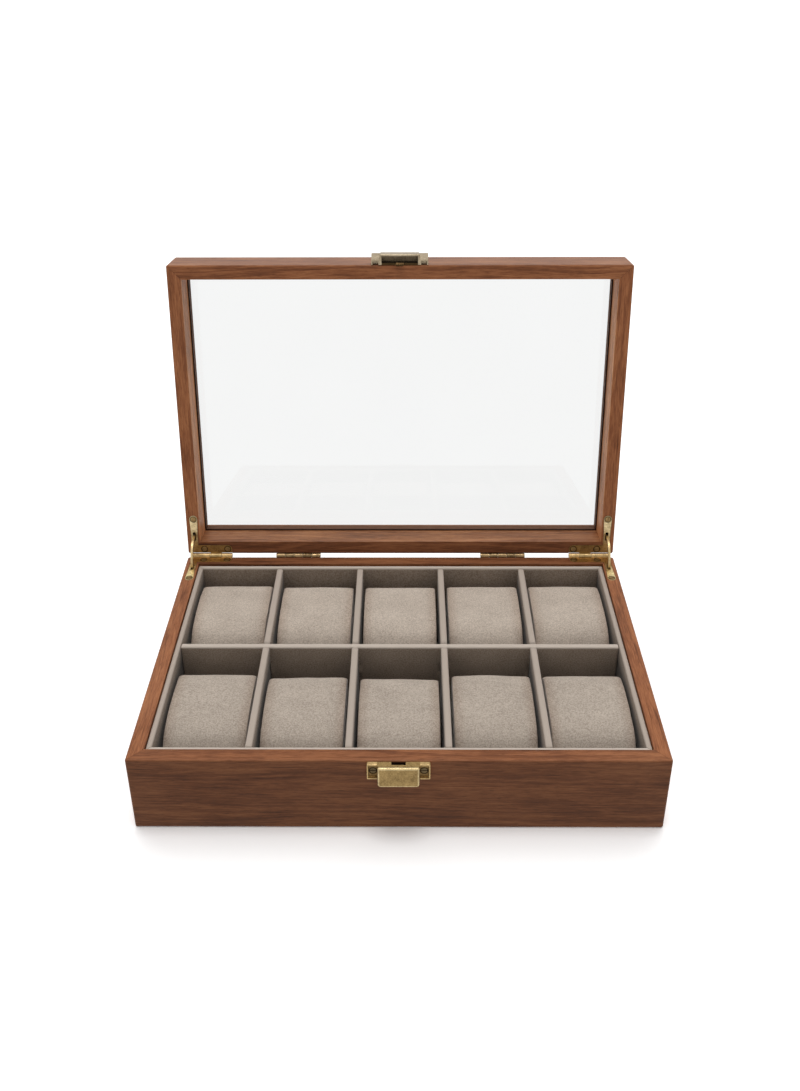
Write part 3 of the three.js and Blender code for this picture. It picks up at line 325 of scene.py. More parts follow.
# Each layer of the suede: its sizes along the axes, its detail and roughness.
SUEDE_BRUSHED = ((17, 13, 15), 3, 0.55)
SUEDE_FLECK = ((1.0, 0.9, 0.95), 3, 0.7)
SUEDE_NAP = ((0.34, 0.3, 0.32), 2, 0.6)
SUEDE_WEIGHTS = (0.13, 0.57, 0.38)
SUEDE_SPAN = (0.43, 0.64)
SUEDE_SHIFT = (4.1, 2.3, 6.7)
SHEEN_TINT = (0.95, 0.9, 0.85, 1)


def suede(name, colour, pale, seed, sheen=0.35, lit_top=None, tones=()):
    """Suede: a short even nap, small flecks, and faint patches where it has been brushed. The
    optional spot and colour before tones paint light on the board's top edges. tones are spots, each
    with the factor for the colour there."""
    g = Graph(name)
    place = g.place()
    offset = tuple(seed * s for s in SUEDE_SHIFT)
    brushed = g.layer(place, *SUEDE_BRUSHED, offset)
    fleck = g.layer(place, *SUEDE_FLECK, offset)
    nap = g.layer(place, *SUEDE_NAP, offset)
    tone = g.weighted(*zip((brushed, fleck, nap), SUEDE_WEIGHTS))
    shade = g.mix(g.span(tone, *SUEDE_SPAN), colour, pale)
    if lit_top:
        spot, lit_colour = lit_top
        shade = g.mix(spot(g, place), shade, lit_colour)
    g.set(
        Base_Color=g.tint(shade, place, tones),
        Roughness=g.span(nap, *NOISE_RANGE, 0.88, 1.0),
        Specular_IOR_Level=0.12,
        Sheen_Weight=sheen,
        Sheen_Roughness=0.45,
        Sheen_Tint=SHEEN_TINT,
    )
    g.bump(g.weighted((fleck, 0.5), (nap, 1.0)), strength=0.5, depth_mm=0.12)
    return g.material


# Each layer of the brass: its sizes along the axes, its detail and roughness.
BRASS_CLOUD = ((5.5, 5.5, 5.5), 2, 0.5)
BRASS_BRUSHED = ((3.2, 3.2, 0.16), 2, 0.5)
BRASS_MOTTLE_NOISE = (4, 0.62)
BRASS_WEIGHTS = (0.4, 0.6, 0.12)
BRASS_SPAN = (0.4, 0.72)
BRASS_SHIFT = (3.9, 5.1, 2.7)


def brass(name, bright, dull, seed, mottle_mm=1.3, rough=(0.26, 0.46), lid=False, tones=()):
    """Antique brass: bright metal with a mottled brown patina. tones are spots on it, each with the
    factor for its colour there: above 1 where light or a highlight is painted, below 1 where it is
    darker, mostly from painted shade, and from dirt in the countersinks."""
    g = Graph(name)
    place = g.place(lid)
    offset = tuple(seed * s for s in BRASS_SHIFT)
    cloud = g.layer(place, *BRASS_CLOUD, offset)
    mottle = g.layer(place, (mottle_mm,) * 3, *BRASS_MOTTLE_NOISE, offset)
    brushed = g.layer(place, *BRASS_BRUSHED, offset)
    tone = g.weighted(*zip((cloud, mottle, brushed), BRASS_WEIGHTS))
    g.set(
        Base_Color=g.tint(g.mix(g.span(tone, *BRASS_SPAN), dull, bright), place, tones),
        Metallic=1.0,
        Roughness=g.span(mottle, *NOISE_RANGE, rough[1], rough[0]),
    )
    g.bump(g.weighted((mottle, 1.0), (brushed, 0.4)), strength=0.25, depth_mm=0.05)
    return g.material


STEEL_BRUSHED = ((0.2, 2.5, 2.5), 2, 0.5)
STEEL_TONES = ((0.36, 0.35, 0.33), (0.6, 0.59, 0.56))


def steel(name):
    g = Graph(name)
    fine = g.layer(g.place(), *STEEL_BRUSHED)
    g.set(
        Base_Color=g.mix(fine, *STEEL_TONES),
        Metallic=1.0,
        Roughness=g.span(fine, *NOISE_RANGE, 0.28, 0.42),
    )
    g.bump(fine, strength=0.15, depth_mm=0.02)
    return g.material


GLASS_WAVE = ((60, 60, 60), 1, 0.5)
GLASS_TONES = ((0.905, 0.91, 0.907), (0.92, 0.925, 0.922))
GLASS_TO_LAMPS = (0.97, 0.97, 0.97, 1)


def glass(name):
    """Clear float glass, faintly grey, that lets the lamps through."""
    g = Graph(name)
    wave = g.layer(g.place(lid=True), *GLASS_WAVE)
    g.set(
        Base_Color=g.mix(wave, *GLASS_TONES),
        Roughness=0.0,
        IOR=1.33,
        Transmission_Weight=1.0,
    )
    path = g.add("ShaderNodeLightPath")
    through = g.maths("MAXIMUM", path.outputs["Is Shadow Ray"], path.outputs["Is Diffuse Ray"])
    clear = g.add("ShaderNodeBsdfTransparent")
    clear.inputs["Color"].default_value = GLASS_TO_LAMPS
    both = mix_shaders(g.tree, through, g.shader, clear)
    g.join(both.outputs[0], g.out.inputs["Surface"])
    return g.material


def mix_shaders(tree, share, first, second):
    node = tree.nodes.new("ShaderNodeMixShader")
    tree.links.new(share, node.inputs[0])
    tree.links.new(first.outputs[0], node.inputs[1])
    tree.links.new(second.outputs[0], node.inputs[2])
    return node


STRIP_GRAIN = ((9, 9, 0.5), 3, 0.6)
STRIP_TONES = ((0.1, 0.043, 0.022), (0.17, 0.08, 0.043))
# Painted shadow line along the beads' edge at the glass.
STRIP_SHADOW_TONE = (0.035, 0.016, 0.009)
STRIP_SHADOW_LINE = along(2, STRIP_EDGE_Z + 0.3, STRIP_EDGE_Z + 1.3)


def dark_strip(name):
    """The stained beads that hold the glass: dark wood with a fine grain, darkest at the glass,
    where a shadow line is painted.
    """
    g = Graph(name)
    place = g.place(lid=True)
    fine = g.layer(place, *STRIP_GRAIN)
    wood = g.mix(g.span(fine, *NOISE_RANGE), *STRIP_TONES)
    g.set(
        Base_Color=g.mix(STRIP_SHADOW_LINE(g, place), wood, STRIP_SHADOW_TONE),
        Roughness=g.span(fine, *NOISE_RANGE, 0.7, 0.55),
        Specular_IOR_Level=0.15,
    )
    g.bump(fine, strength=0.3, depth_mm=0.03)
    return g.material


# shading of the CAD nodes

WELD_REACH = 0.01
SMOOTH_DEG = 38
FLAT_DEG = 0.5
ARRIS_DEG = 40
ARRIS_SEGMENTS = 2


def modifier_group(name):
    """A new group of geometry nodes, with the node at its start and the one at its end."""
    tree = bpy.data.node_groups.new(name, "GeometryNodeTree")
    for in_out in ("INPUT", "OUTPUT"):
        tree.interface.new_socket("Geometry", in_out=in_out, socket_type="NodeSocketGeometry")
    return tree, tree.nodes.new("NodeGroupInput"), tree.nodes.new("NodeGroupOutput")


def weld_group():
    """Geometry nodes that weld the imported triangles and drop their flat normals."""
    tree, start, end = modifier_group("weld_triangles")
    drop = tree.nodes.new("GeometryNodeRemoveAttribute")
    drop.inputs["Name"].default_value = "custom_normal"
    merge = tree.nodes.new("GeometryNodeMergeByDistance")
    merge.inputs["Distance"].default_value = WELD_REACH * MM
    tree.links.new(start.outputs[0], drop.inputs["Geometry"])
    tree.links.new(drop.outputs[0], merge.inputs["Geometry"])
    tree.links.new(merge.outputs[0], end.inputs[0])
    return tree


def smooth_group():
    """Geometry nodes that shade smooth, except across edges sharper than SMOOTH_DEG."""
    tree, start, end = modifier_group("smooth_%d" % SMOOTH_DEG)
    faces = tree.nodes.new("GeometryNodeSetShadeSmooth")
    faces.domain = "FACE"
    edges = tree.nodes.new("GeometryNodeSetShadeSmooth")
    edges.domain = "EDGE"
    angle = tree.nodes.new("GeometryNodeInputMeshEdgeAngle")
    compare = tree.nodes.new("FunctionNodeCompare")
    compare.data_type = "FLOAT"
    compare.operation = "LESS_THAN"
    compare.inputs["B"].default_value = math.radians(SMOOTH_DEG)
    tree.links.new(start.outputs[0], faces.inputs["Geometry"])
    tree.links.new(faces.outputs[0], edges.inputs["Geometry"])
    tree.links.new(angle.outputs["Unsigned Angle"], compare.inputs["A"])
    tree.links.new(compare.outputs[0], edges.inputs["Shade Smooth"])
    tree.links.new(edges.outputs[0], end.inputs[0])
    return tree


WELD = weld_group()
SMOOTH = smooth_group()


def dress(node, material, bevel_mm=0.0, clamped=True):
    """A CAD node keeps its shape and gets its material, soft arrises and smooth rounds. clamped
    narrows all its arrises to what fits at its shortest edge."""
    obj = NODES[node]
    obj.material_slots[0].material = material
    obj.modifiers.new("weld", "NODES").node_group = WELD
    if bevel_mm:
        flat = obj.modifiers.new("flat", "DECIMATE")
        flat.decimate_type = "DISSOLVE"
        flat.angle_limit = math.radians(FLAT_DEG)
        bevel = obj.modifiers.new("arris", "BEVEL")
        bevel.width = bevel_mm * MM
        bevel.segments = ARRIS_SEGMENTS
        bevel.limit_method = "ANGLE"
        bevel.angle_limit = math.radians(ARRIS_DEG)
        bevel.use_clamp_overlap = clamped
    obj.modifiers.new("smooth", "NODES").node_group = SMOOTH
    if bevel_mm:
        even = obj.modifiers.new("even", "WEIGHTED_NORMAL")
        even.weight = 100
        even.keep_sharp = True


def make_object(name, vertices, faces, material, smooth=True):
    mesh = bpy.data.meshes.new(name)
    mesh.from_pydata(vertices, [], faces)
    shape = bmesh.new()
    shape.from_mesh(mesh)
    bmesh.ops.recalc_face_normals(shape, faces=shape.faces)
    shape.to_mesh(mesh)
    shape.free()
    for polygon in mesh.polygons:
        polygon.use_smooth = smooth
    mesh.materials.append(material)
    obj = bpy.data.objects.new(name, mesh)
    SCENE.collection.objects.link(obj)
    return obj


# walnut

# Painted light and shade: each case wall's walnut is lighter or darker by how much light falls on it.
CASE_PAINTED_SHADING = {"front": 1.0, "rear": 0.84, "left": 1.16, "right": 1.22}
# Painted light: the lid's rails are much lighter where light falls on their faces.
LID_PAINTED_SHADING = {"front": 1.44, "rear": 1.0, "left": 1.52, "right": 1.6}
CASE_TILT = 0.012
LID_TILT = 0.008
WOOD_ARRIS = 0.15
BOTTOM_ARRIS = 0.2
FRONT_FACE = along(1, FRONT_Y + 0.1, FRONT_Y + 0.5)
# Painted shade on the wood that the latch covers, which is seen only through the latch's slot.
SHADE_BEHIND_LATCH = box_spot((-1.0, 12.0), (40.5, 54.7), 0.4)
# Painted shade on the case's front face, and nearly black painted shade behind the latch.
CASE_TONES = {"front": ((FRONT_FACE, (0.84, 0.84, 0.84)), (SHADE_BEHIND_LATCH, (0.1, 0.1, 0.1)))}
# Painted light and sheen on the side rails' inner faces; their outer faces take back the rails'
# painted light.
SIDE_RAIL_TONES = (
    (along(0, RAIL_INNER_X, RAIL_INNER_X + 0.35), (1.7, 2.05, 2.15)),
    (along(0, SIDE_X - 0.5, SIDE_X - 0.1, 0.0, 1.0), (0.72, 0.72, 0.72)),
)
# The lid's front outer face takes back the rail's painted light; painted light on the rear rail's
# inner face.
LID_TONES = {
    "front": ((FRONT_FACE, (0.76, 0.84, 0.9)),),
    "rear": ((along(1, REAR_INNER_Y, REAR_INNER_Y + 0.35), (1.2, 1.34, 1.33)),),
    "left": SIDE_RAIL_TONES,
    "right": SIDE_RAIL_TONES,
}

for i, wall in enumerate(WALLS):
    grain = "X" if wall in ("front", "rear") else "Y"
    for part, seed, shade, tilt, tones in (
        ("case_%s_wall" % wall, 3.7 + 2.3 * i, CASE_PAINTED_SHADING[wall], CASE_TILT, CASE_TONES.get(wall, ())),
        ("lid_%s_rail" % wall, 17.1 + 1.9 * i, LID_PAINTED_SHADING[wall], LID_TILT, LID_TONES[wall]),
    ):
        wood = walnut("walnut_" + part, grain, seed, part.startswith("lid"), shade, tilt, tones)
        dress(part, wood, WOOD_ARRIS)
dress("case_bottom_panel", walnut("walnut_bottom", "X", seed=31.3), BOTTOM_ARRIS)

# lid's glass and beads

dress("lid_glass", glass("glass_lid"))
STRIP = dark_strip("strip_dark")
for wall in WALLS:
    dress("glazing_strip_" + wall, STRIP, bevel_mm=0.12)

# brass

HINGE_BRIGHT = (0.5, 0.3, 0.11)
HINGE_DULL = (0.2, 0.115, 0.038)
BUTT_BRIGHT = (0.37, 0.255, 0.132)
BUTT_DULL = (0.123, 0.075, 0.033)
STAY_BRIGHT = (0.72, 0.55, 0.3)
STAY_DULL = (0.4, 0.28, 0.13)
LATCH_BRIGHT = (0.42, 0.285, 0.118)
LATCH_DULL = (0.21, 0.138, 0.054)
KEEPER_BRIGHT = (0.52, 0.43, 0.3)
KEEPER_DULL = (0.27, 0.21, 0.135)
SCREW_BRIGHT = (0.4, 0.27, 0.12)
SCREW_DULL = (0.17, 0.11, 0.045)
LATCH_SCREW_BRIGHT = (0.17, 0.12, 0.06)
LATCH_SCREW_DULL = (0.07, 0.048, 0.024)
# Painted light and shade: the case's leaves lighter and the lid's leaves darker, by how light falls
# on them.
LEAF_PAINTED_SHADING = {"case": 1.2, "lid": 0.8}

# Where the screws stand in a quadrant leaf (x, y) and in a butt leaf (x, z).
QUADRANT_SCREWS = ((159.2, 82.95), (152.1, 107.9), (134.1, 107.9))
BUTT_SCREWS_X = (69.2, 89.2)
BUTT_SCREWS_Z = {"case": 47.2, "lid": 64.0}
LATCH_SCREWS = ((15.45, 48.95),)
BUTTON_HALF = (12.6, 7.4)
BUTTON_MIDDLE_Z = 47.5
BUTTON_HIGHLIGHT_RIM = (0.7, 1.3)
HOOD_MOUTH_Y = (-118.1, -117.95)
# Squared distances over which the dirt round a screw fades, and the painted highlight round the pin.
DIRT_RING = (6.0, 8.6)
KNUCKLE_RING = (5.0, 6.0)


def button_rim_highlight(g, place):
    """The rim of the latch button's face, with a painted highlight, partly standing for rubbed wear.
    """
    x, _, z = g.xyz(place)
    side = g.maths("SUBTRACT", BUTTON_HALF[0], g.maths("ABSOLUTE", x))
    height = g.maths("ABSOLUTE", g.maths("SUBTRACT", z, BUTTON_MIDDLE_Z))
    end = g.maths("SUBTRACT", BUTTON_HALF[1], height)
    return g.span(g.maths("MINIMUM", side, end), *BUTTON_HIGHLIGHT_RIM, 1.0, 0.0)


EARS = box_spot((12.9, 30.0), (0.0, 60.0), 0.1)
INSIDE_RIMS = box_spot((-1.0, 18.55), (43.9, 53.9), 0.1)
# Painted shade in the sunk middle of each ear, partly standing for the patina that stays there.
EAR_TRAY_SHADE = box_spot((12.5, 18.5), (44.0, 52.4), 0.35)
HOOD_ROOM = box_spot((-1.0, 12.9), (44.0, 64.9), 0.15)


def ear_rim_highlight(g, place):
    """The rim round each ear's sunk middle, with a painted highlight, partly standing for rubbed
    wear.
    """
    middle = INSIDE_RIMS(g, place)
    return g.maths("MULTIPLY", EARS(g, place), g.maths("SUBTRACT", 1.0, middle))


def hood_shade(g, place):
    """The inside of the keeper's hood, with painted shade."""
    return g.maths("MULTIPLY", HOOD_ROOM(g, place), g.span(g.xyz(place)[1], *HOOD_MOUTH_Y))


def ring_round(points, axis):
    """The dirt in the countersinks: spots round screws at (|x|, place on the axis)."""

    def spot(g, place):
        split = g.xyz(place)
        x = g.maths("ABSOLUTE", split[0])
        result = None
        for a, b in points:
            square = g.square_distance(
                g.maths("SUBTRACT", x, a), g.maths("SUBTRACT", split[axis], b)
            )
            ring = g.span(square, *DIRT_RING, 1.0, 0.0)
            result = ring if result is None else g.maths("MAXIMUM", result, ring)
        return result

    return spot


def pin_line(g, place):
    """The knuckles and the pin: a painted highlight on the quadrant leaves, a little darker on the
    butt leaves.
    """
    _, y, z = g.xyz(place)
    square = g.square_distance(g.maths("SUBTRACT", y, PIN.y), g.maths("SUBTRACT", z, PIN.z))
    return g.span(square, *KNUCKLE_RING, 0.9, 0.0)


# Painted light on the quadrant leaves' legs along the side walls, and a painted highlight at the pin.
SIDE_LEG_LIGHT = along(1, 90.0, 104.0)
QUADRANT_DIRT = (ring_round(QUADRANT_SCREWS, 1), (0.18, 0.17, 0.15))
LEAF_TONES = {
    ("quadrant", "case"): (
        (SIDE_LEG_LIGHT, (1.9, 2.65, 3.9)),
        (pin_line, (1.0, 1.15, 1.5)),
        QUADRANT_DIRT,
    ),
    ("quadrant", "lid"): (
        (SIDE_LEG_LIGHT, (2.25, 3.05, 4.8)),
        (pin_line, (1.25, 1.5, 2.0)),
        QUADRANT_DIRT,
    ),
}
for body, z in BUTT_SCREWS_Z.items():
    LEAF_TONES["butt", body] = (
        (pin_line, (0.85, 0.87, 0.9)),
        (ring_round([(x, z) for x in BUTT_SCREWS_X], 2), (0.3, 0.28, 0.25)),
    )
# Painted shade in the ears' sunk middles and painted highlights on their rims; dirt in the
# countersinks.
LATCH_TONES = (
    (EAR_TRAY_SHADE, (0.6, 0.56, 0.54)),
    (ring_round(LATCH_SCREWS, 2), (0.2, 0.18, 0.16)),
    (ear_rim_highlight, (1.7, 1.8, 2.1)),
)
# Painted highlight on the button's rim.
BUTTON_TONES = ((button_rim_highlight, (1.9, 2.2, 2.9)),)
# Painted shade inside the keeper's hood.
KEEPER_TONES = ((hood_shade, (0.155, 0.115, 0.07)),)

# The quadrant leaves and the housing have short edges, so narrow unclamped arrises fit them better.
LEAF_ARRIS = {
    "quadrant": {"bevel_mm": 0.04, "clamped": False},
    "butt": {"bevel_mm": 0.12},
}
HOUSING_ARRIS = {"bevel_mm": 0.05, "clamped": False}


def leaf_brass(kind, body, bright, dull, seed):
    shade = LEAF_PAINTED_SHADING[body]
    return brass(
        "brass_%s_%s_leaf" % (kind, body),
        tuple(c * shade for c in bright),
        tuple(c * shade for c in dull),
        seed,
        lid=body == "lid",
        tones=LEAF_TONES[kind, body],
    )


HINGE_BRASS = {}
for kind, bright, dull in (("quadrant", HINGE_BRIGHT, HINGE_DULL), ("butt", BUTT_BRIGHT, BUTT_DULL)):
    for body, seed in (("case", 1.3), ("lid", 3.1)):
        HINGE_BRASS[kind, body] = leaf_brass(kind, body, bright, dull, seed)
PIN_BRASS = brass("brass_pin", STAY_BRIGHT, STAY_DULL, seed=5.9)
STAY_BRASS = brass("brass_stay", STAY_BRIGHT, STAY_DULL, seed=2.9)
LATCH_BRASS = brass(
    "brass_latch",
    LATCH_BRIGHT,
    LATCH_DULL,
    seed=4.7,
    mottle_mm=0.9,
    rough=(0.42, 0.56),
    tones=LATCH_TONES,
)
BUTTON_BRASS = brass(
    "brass_button",
    LATCH_BRIGHT,
    LATCH_DULL,
    seed=6.1,
    mottle_mm=0.8,
    rough=(0.36, 0.5),
    tones=BUTTON_TONES,
)
KEEPER_BRASS = brass(
    "brass_keeper",
    KEEPER_BRIGHT,
    KEEPER_DULL,
    seed=8.3,
    mottle_mm=0.9,
    rough=(0.36, 0.5),
    lid=True,
    tones=KEEPER_TONES,
)
SCREW_BRASS = brass("brass_screw", SCREW_BRIGHT, SCREW_DULL, seed=9.7, mottle_mm=0.8)
LATCH_SCREW_BRASS = brass(
    "brass_latch_screw", LATCH_SCREW_BRIGHT, LATCH_SCREW_DULL, seed=10.9, mottle_mm=0.8
)
STEEL = steel("steel_plain")

for side in ("left", "right"):
    for kind in ("quadrant", "butt"):
        hinge = "%s_hinge_%s" % (kind, side)
        for body in ("case", "lid"):
            dress("%s_%s_leaf" % (hinge, body), HINGE_BRASS[kind, body], **LEAF_ARRIS[kind])
        dress(hinge + "_pin", PIN_BRASS, bevel_mm=0.12)
    dress("quadrant_stay_" + side, STAY_BRASS)
    dress("latch_screw_" + side, LATCH_SCREW_BRASS, bevel_mm=0.06)
dress("latch_housing", LATCH_BRASS, **HOUSING_ARRIS)
dress("latch_button", BUTTON_BRASS, bevel_mm=0.1)
dress("latch_keeper", KEEPER_BRASS, bevel_mm=0.12)
dress("latch_pin", STEEL, bevel_mm=0.1)
dress("latch_spring", STEEL)

# screws of the hinge leaves

# Radius and height, from the shank's end to the head's edge.
SCREW_PROFILE = ((1.1, -1.6), (1.1, -0.95), (2.05, -0.12), (1.95, 0.0))
SCREW_STEPS = 28
SLOT_HALF = 0.28
SLOT_DEPTH = 0.45
CUT_SLACK = 1e-5
FACES_UP = 0.9
QUADRANT_SCREWS_Z = {"case": 55.55, "lid": 56.15}
QUADRANT_FACING = {"case": (0, 0, 1), "lid": (0, 0, -1)}
BUTT_SCREWS_Y = {"case": 112.9, "lid": 113.0}
BUTT_FACING = (0, 1, 0)
SLOT_TURNS = itertools.cycle((20, 75, 130, 5, 160, 95, 40, 110, 65, 150))


def screw_mesh(material):
    """A slotted countersunk screw, its head at the origin and facing +Z."""
    shape = bmesh.new()
    rings = []
    for radius, height in SCREW_PROFILE:
        ring = []
        for i in range(SCREW_STEPS):
            a = 2 * math.pi * (i + 0.5) / SCREW_STEPS
            ring.append(shape.verts.new((radius * math.cos(a), radius * math.sin(a), height)))
        rings.append(ring)
    for low, high in zip(rings, rings[1:]):
        for i in range(SCREW_STEPS):
            j = (i + 1) % SCREW_STEPS
            shape.faces.new((low[i], low[j], high[j], high[i]))
    shape.faces.new(list(reversed(rings[0])))
    shape.faces.new(rings[-1])
    for side in (1, -1):
        bmesh.ops.bisect_plane(
            shape,
            geom=shape.verts[:] + shape.edges[:] + shape.faces[:],
            plane_co=(0, side * SLOT_HALF, 0),
            plane_no=(0, 1, 0),
            dist=CUT_SLACK,
        )
    top = [
        f
        for f in shape.faces
        if f.normal.z > FACES_UP and abs(f.calc_center_median().y) < SLOT_HALF / 2
    ]
    made = bmesh.ops.extrude_face_region(shape, geom=top)
    for v in (e for e in made["geom"] if isinstance(e, bmesh.types.BMVert)):
        v.co.z -= SLOT_DEPTH
    bmesh.ops.delete(shape, geom=top, context="FACES_ONLY")
    bmesh.ops.recalc_face_normals(shape, faces=shape.faces)
    shape.transform(Matrix.Scale(MM, 4))
    mesh = bpy.data.meshes.new("hinge_screw")
    shape.to_mesh(mesh)
    shape.free()
    mesh.materials.append(material)
    return mesh


SCREW = screw_mesh(SCREW_BRASS)
LID_TURN = (
    Matrix.Translation(PIN_M)
    @ Matrix.Rotation(math.radians(-LID_OPEN_DEG), 4, "X")
    @ Matrix.Translation(-PIN_M)
)


def place_screw(name, at_mm, facing, body):
    """facing is the head's direction in the closed box, and the lid's screws open with it."""
    obj = bpy.data.objects.new(name, SCREW)
    SCENE.collection.objects.link(obj)
    turn = Vector(facing).to_track_quat("Z", "Y").to_matrix().to_4x4()
    slot = Matrix.Rotation(math.radians(next(SLOT_TURNS)), 4, "Z")
    stand = Matrix.Translation(Vector(at_mm) * MM) @ turn @ slot
    obj.matrix_world = (LID_TURN @ stand) if body == "lid" else stand
    obj.modifiers.new("smooth", "NODES").node_group = SMOOTH
    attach(obj, body)


for side, sign in (("left", -1), ("right", 1)):
    for i, (x, y) in enumerate(QUADRANT_SCREWS):
        for body in ("case", "lid"):
            name = "screw_quadrant_%s_%s_%d" % (side, body, i + 1)
            at = (sign * x, y, QUADRANT_SCREWS_Z[body])
            place_screw(name, at, QUADRANT_FACING[body], body)
    for i, x in enumerate(BUTT_SCREWS_X):
        for body in ("case", "lid"):
            name = "screw_butt_%s_%s_%d" % (side, body, i + 1)
            at = (sign * x, BUTT_SCREWS_Y[body], BUTT_SCREWS_Z[body])
            place_screw(name, at, BUTT_FACING, body)

# suede boards

BOARD_DARK = (0.205, 0.157, 0.12)
BOARD_PALE = (0.4, 0.322, 0.257)
# The floor board's suede is painted dark: painted shade at the bottom of the compartments.
FLOOR_SHADE_DARK = (0.07, 0.052, 0.04)
FLOOR_SHADE_PALE = (0.13, 0.1, 0.08)
# Painted light on the wrapped top edges, and painted shade on the cross boards towards the floor,
# where the compartments are dark.
BOARD_TOP_LIGHT = along(2, 52.2, 53.5, 0.0, 0.9)
BOARD_FOOT_SHADE = along(2, 41.0, 50.5)
LONG_BOARD_SUEDE = suede(
    "suede_long_boards", BOARD_DARK, BOARD_PALE, seed=1.9, lit_top=(BOARD_TOP_LIGHT, (0.575, 0.5, 0.43))
)
CROSS_BOARD_SUEDE = suede(
    "suede_cross_boards",
    BOARD_DARK,
    BOARD_PALE,
    seed=7.7,
    sheen=0.2,
    lit_top=(BOARD_TOP_LIGHT, (0.47, 0.4, 0.34)),
    # Painted shade on the cross boards towards the floor.
    tones=((BOARD_FOOT_SHADE, (0.14, 0.13, 0.12)),),
)
FLOOR_SUEDE = suede("suede_floor", FLOOR_SHADE_DARK, FLOOR_SHADE_PALE, seed=4.3)

# Radii of a board's outline at its top and foot, and of its ends.
LINING_ROUNDS = (1.1, 0.4)
LINING_END_ROUND = 0.25
FLOOR_ROUNDS = (0.5, 0.3)
FLOOR_END_ROUND = 0.3
DIVIDER_ROUNDS = (1.2, 0.5)
DIVIDER_END_ROUND = 1.1
TOP_STEPS = 5
FOOT_STEPS = 3
END_STEPS = 3
BOARD_STEP = 3.0
BOARD_FOOT_Z = FLOOR_TOP + 0.02
LINING_END_GAP = 0.08
NOTCH_RAMP = 0.01
SKIN_WAVE = 9.0
SKIN_SHIFT = (1, 1.7, 0.6)


def outline(u0, u1, v0, v1, top, foot):
    """A rounded rectangle as (u, v, outward u, outward v), in order round it."""
    points = []

    def run(a, b, normal):
        count = max(1, round((Vector(b) - Vector(a)).length / BOARD_STEP))
        for i in range(count + 1):
            p = Vector(a).lerp(Vector(b), i / count)
            points.append((p.x, p.y, *normal))

    def arc(cu, cv, radius, start, steps):
        for i in range(1, steps):
            a = math.radians(start + 90 * i / steps)
            points.append(
                (cu + radius * math.cos(a), cv + radius * math.sin(a), math.cos(a), math.sin(a))
            )

    run((u0 + foot, v0), (u1 - foot, v0), (0, -1))
    arc(u1 - foot, v0 + foot, foot, 270, FOOT_STEPS)
    run((u1, v0 + foot), (u1, v1 - top), (1, 0))
    arc(u1 - top, v1 - top, top, 0, TOP_STEPS)
    run((u1 - top, v1), (u0 + top, v1), (0, 1))
    arc(u0 + top, v1 - top, top, 90, TOP_STEPS)
    run((u0, v1 - top), (u0, v0 + foot), (-1, 0))
    arc(u0 + foot, v0 + foot, foot, 180, FOOT_STEPS)
    return points


def stations(half, soft, breaks=()):
    """Places along a board that reaches half both ways, with how far its outline draws in there to
    round its ends."""
    turns = [math.radians(90 * i / END_STEPS) for i in range(END_STEPS, -1, -1)]
    head = [(soft * (1 - math.sin(a)) - half, soft * (1 - math.cos(a))) for a in turns]
    tail = [(-s, inset) for s, inset in reversed(head)]
    edges = [head[-1][0], *sorted(breaks), tail[0][0]]
    middle = []
    for a, b in zip(edges, edges[1:]):
        count = max(1, round((b - a) / BOARD_STEP))
        middle += [(a + (b - a) * i / count, 0.0) for i in range(count)]
    return head[:-1] + middle + tail


def roughen(obj, depth_mm, size_mm, seed, reach=None):
    """Moves each point along its normal by smooth noise, then keeps it within reach of 0."""
    mesh = obj.data
    normals = [v.normal.copy() for v in mesh.vertices]
    for v, n in zip(mesh.vertices, normals):
        p = v.co / (size_mm * MM) + Vector([seed * s for s in SKIN_SHIFT])
        v.co += n * (noise.noise(p) * depth_mm * MM)
        if reach is not None:
            v.co = held(v.co, reach)


def held(point, reach):
    return Vector([min(max(c, -r), r) for c, r in zip(point, reach)])


def make_board(node, rings, material, rough_mm, seed):
    """A closed skin over rings of points, slightly uneven, as fabric over board is."""
    count = len(rings[0])
    vertices = [Vector(p) for ring in rings for p in ring]
    faces = []
    for r in range(len(rings) - 1):
        for i in range(count):
            a, b = r * count + i, r * count + (i + 1) % count
            faces.append((a, b, b + count, a + count))
    for r in (0, len(rings) - 1):
        hub = len(vertices)
        vertices.append(sum((Vector(p) for p in rings[r]), Vector()) / count)
        for i in range(count):
            faces.append((r * count + i, r * count + (i + 1) % count, hub))
    obj = make_object("suede_" + node, [v * MM for v in vertices], faces, material)
    roughen(obj, rough_mm, SKIN_WAVE, seed)
    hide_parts(node)
    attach(obj, "case")


def lining(side, seed):
    """A lining board against a wall, its ends mitred, its top edges wrapped round."""
    along_x = side in ("front", "rear")
    sign = -1 if side in ("front", "left") else 1
    across = 1 if along_x else 0
    outer, inner = LINING_OUTER[across], LINING_INNER[across]
    half = LINING_OUTER[1 - across] - LINING_END_GAP
    section = outline(inner, outer, BOARD_FOOT_Z, LINING_TOP, *LINING_ROUNDS)
    rings = []
    for s, inset in stations(half, LINING_END_ROUND):
        ring = []
        for u, v, nu, nv in section:
            u, v = u - nu * inset, v - nv * inset
            run = s * (1 - (outer - u) / half)
            ring.append((run, sign * u, v) if along_x else (sign * u, run, v))
        rings.append(ring)
    make_board("lining_" + side, rings, board_suede(along_x), rough_mm=0.06, seed=seed)


def board_suede(along_x):
    return LONG_BOARD_SUEDE if along_x else CROSS_BOARD_SUEDE


def floor_board():
    length, width = LINING_OUTER
    section = outline(-width, width, FLOOR_UNDERSIDE, FLOOR_TOP, *FLOOR_ROUNDS)
    rings = [
        [(s, u - nu * inset, v - nv * inset) for u, v, nu, nv in section]
        for s, inset in stations(length, FLOOR_END_ROUND)
    ]
    make_board("lining_floor", rings, FLOOR_SUEDE, rough_mm=0.04, seed=8.8)


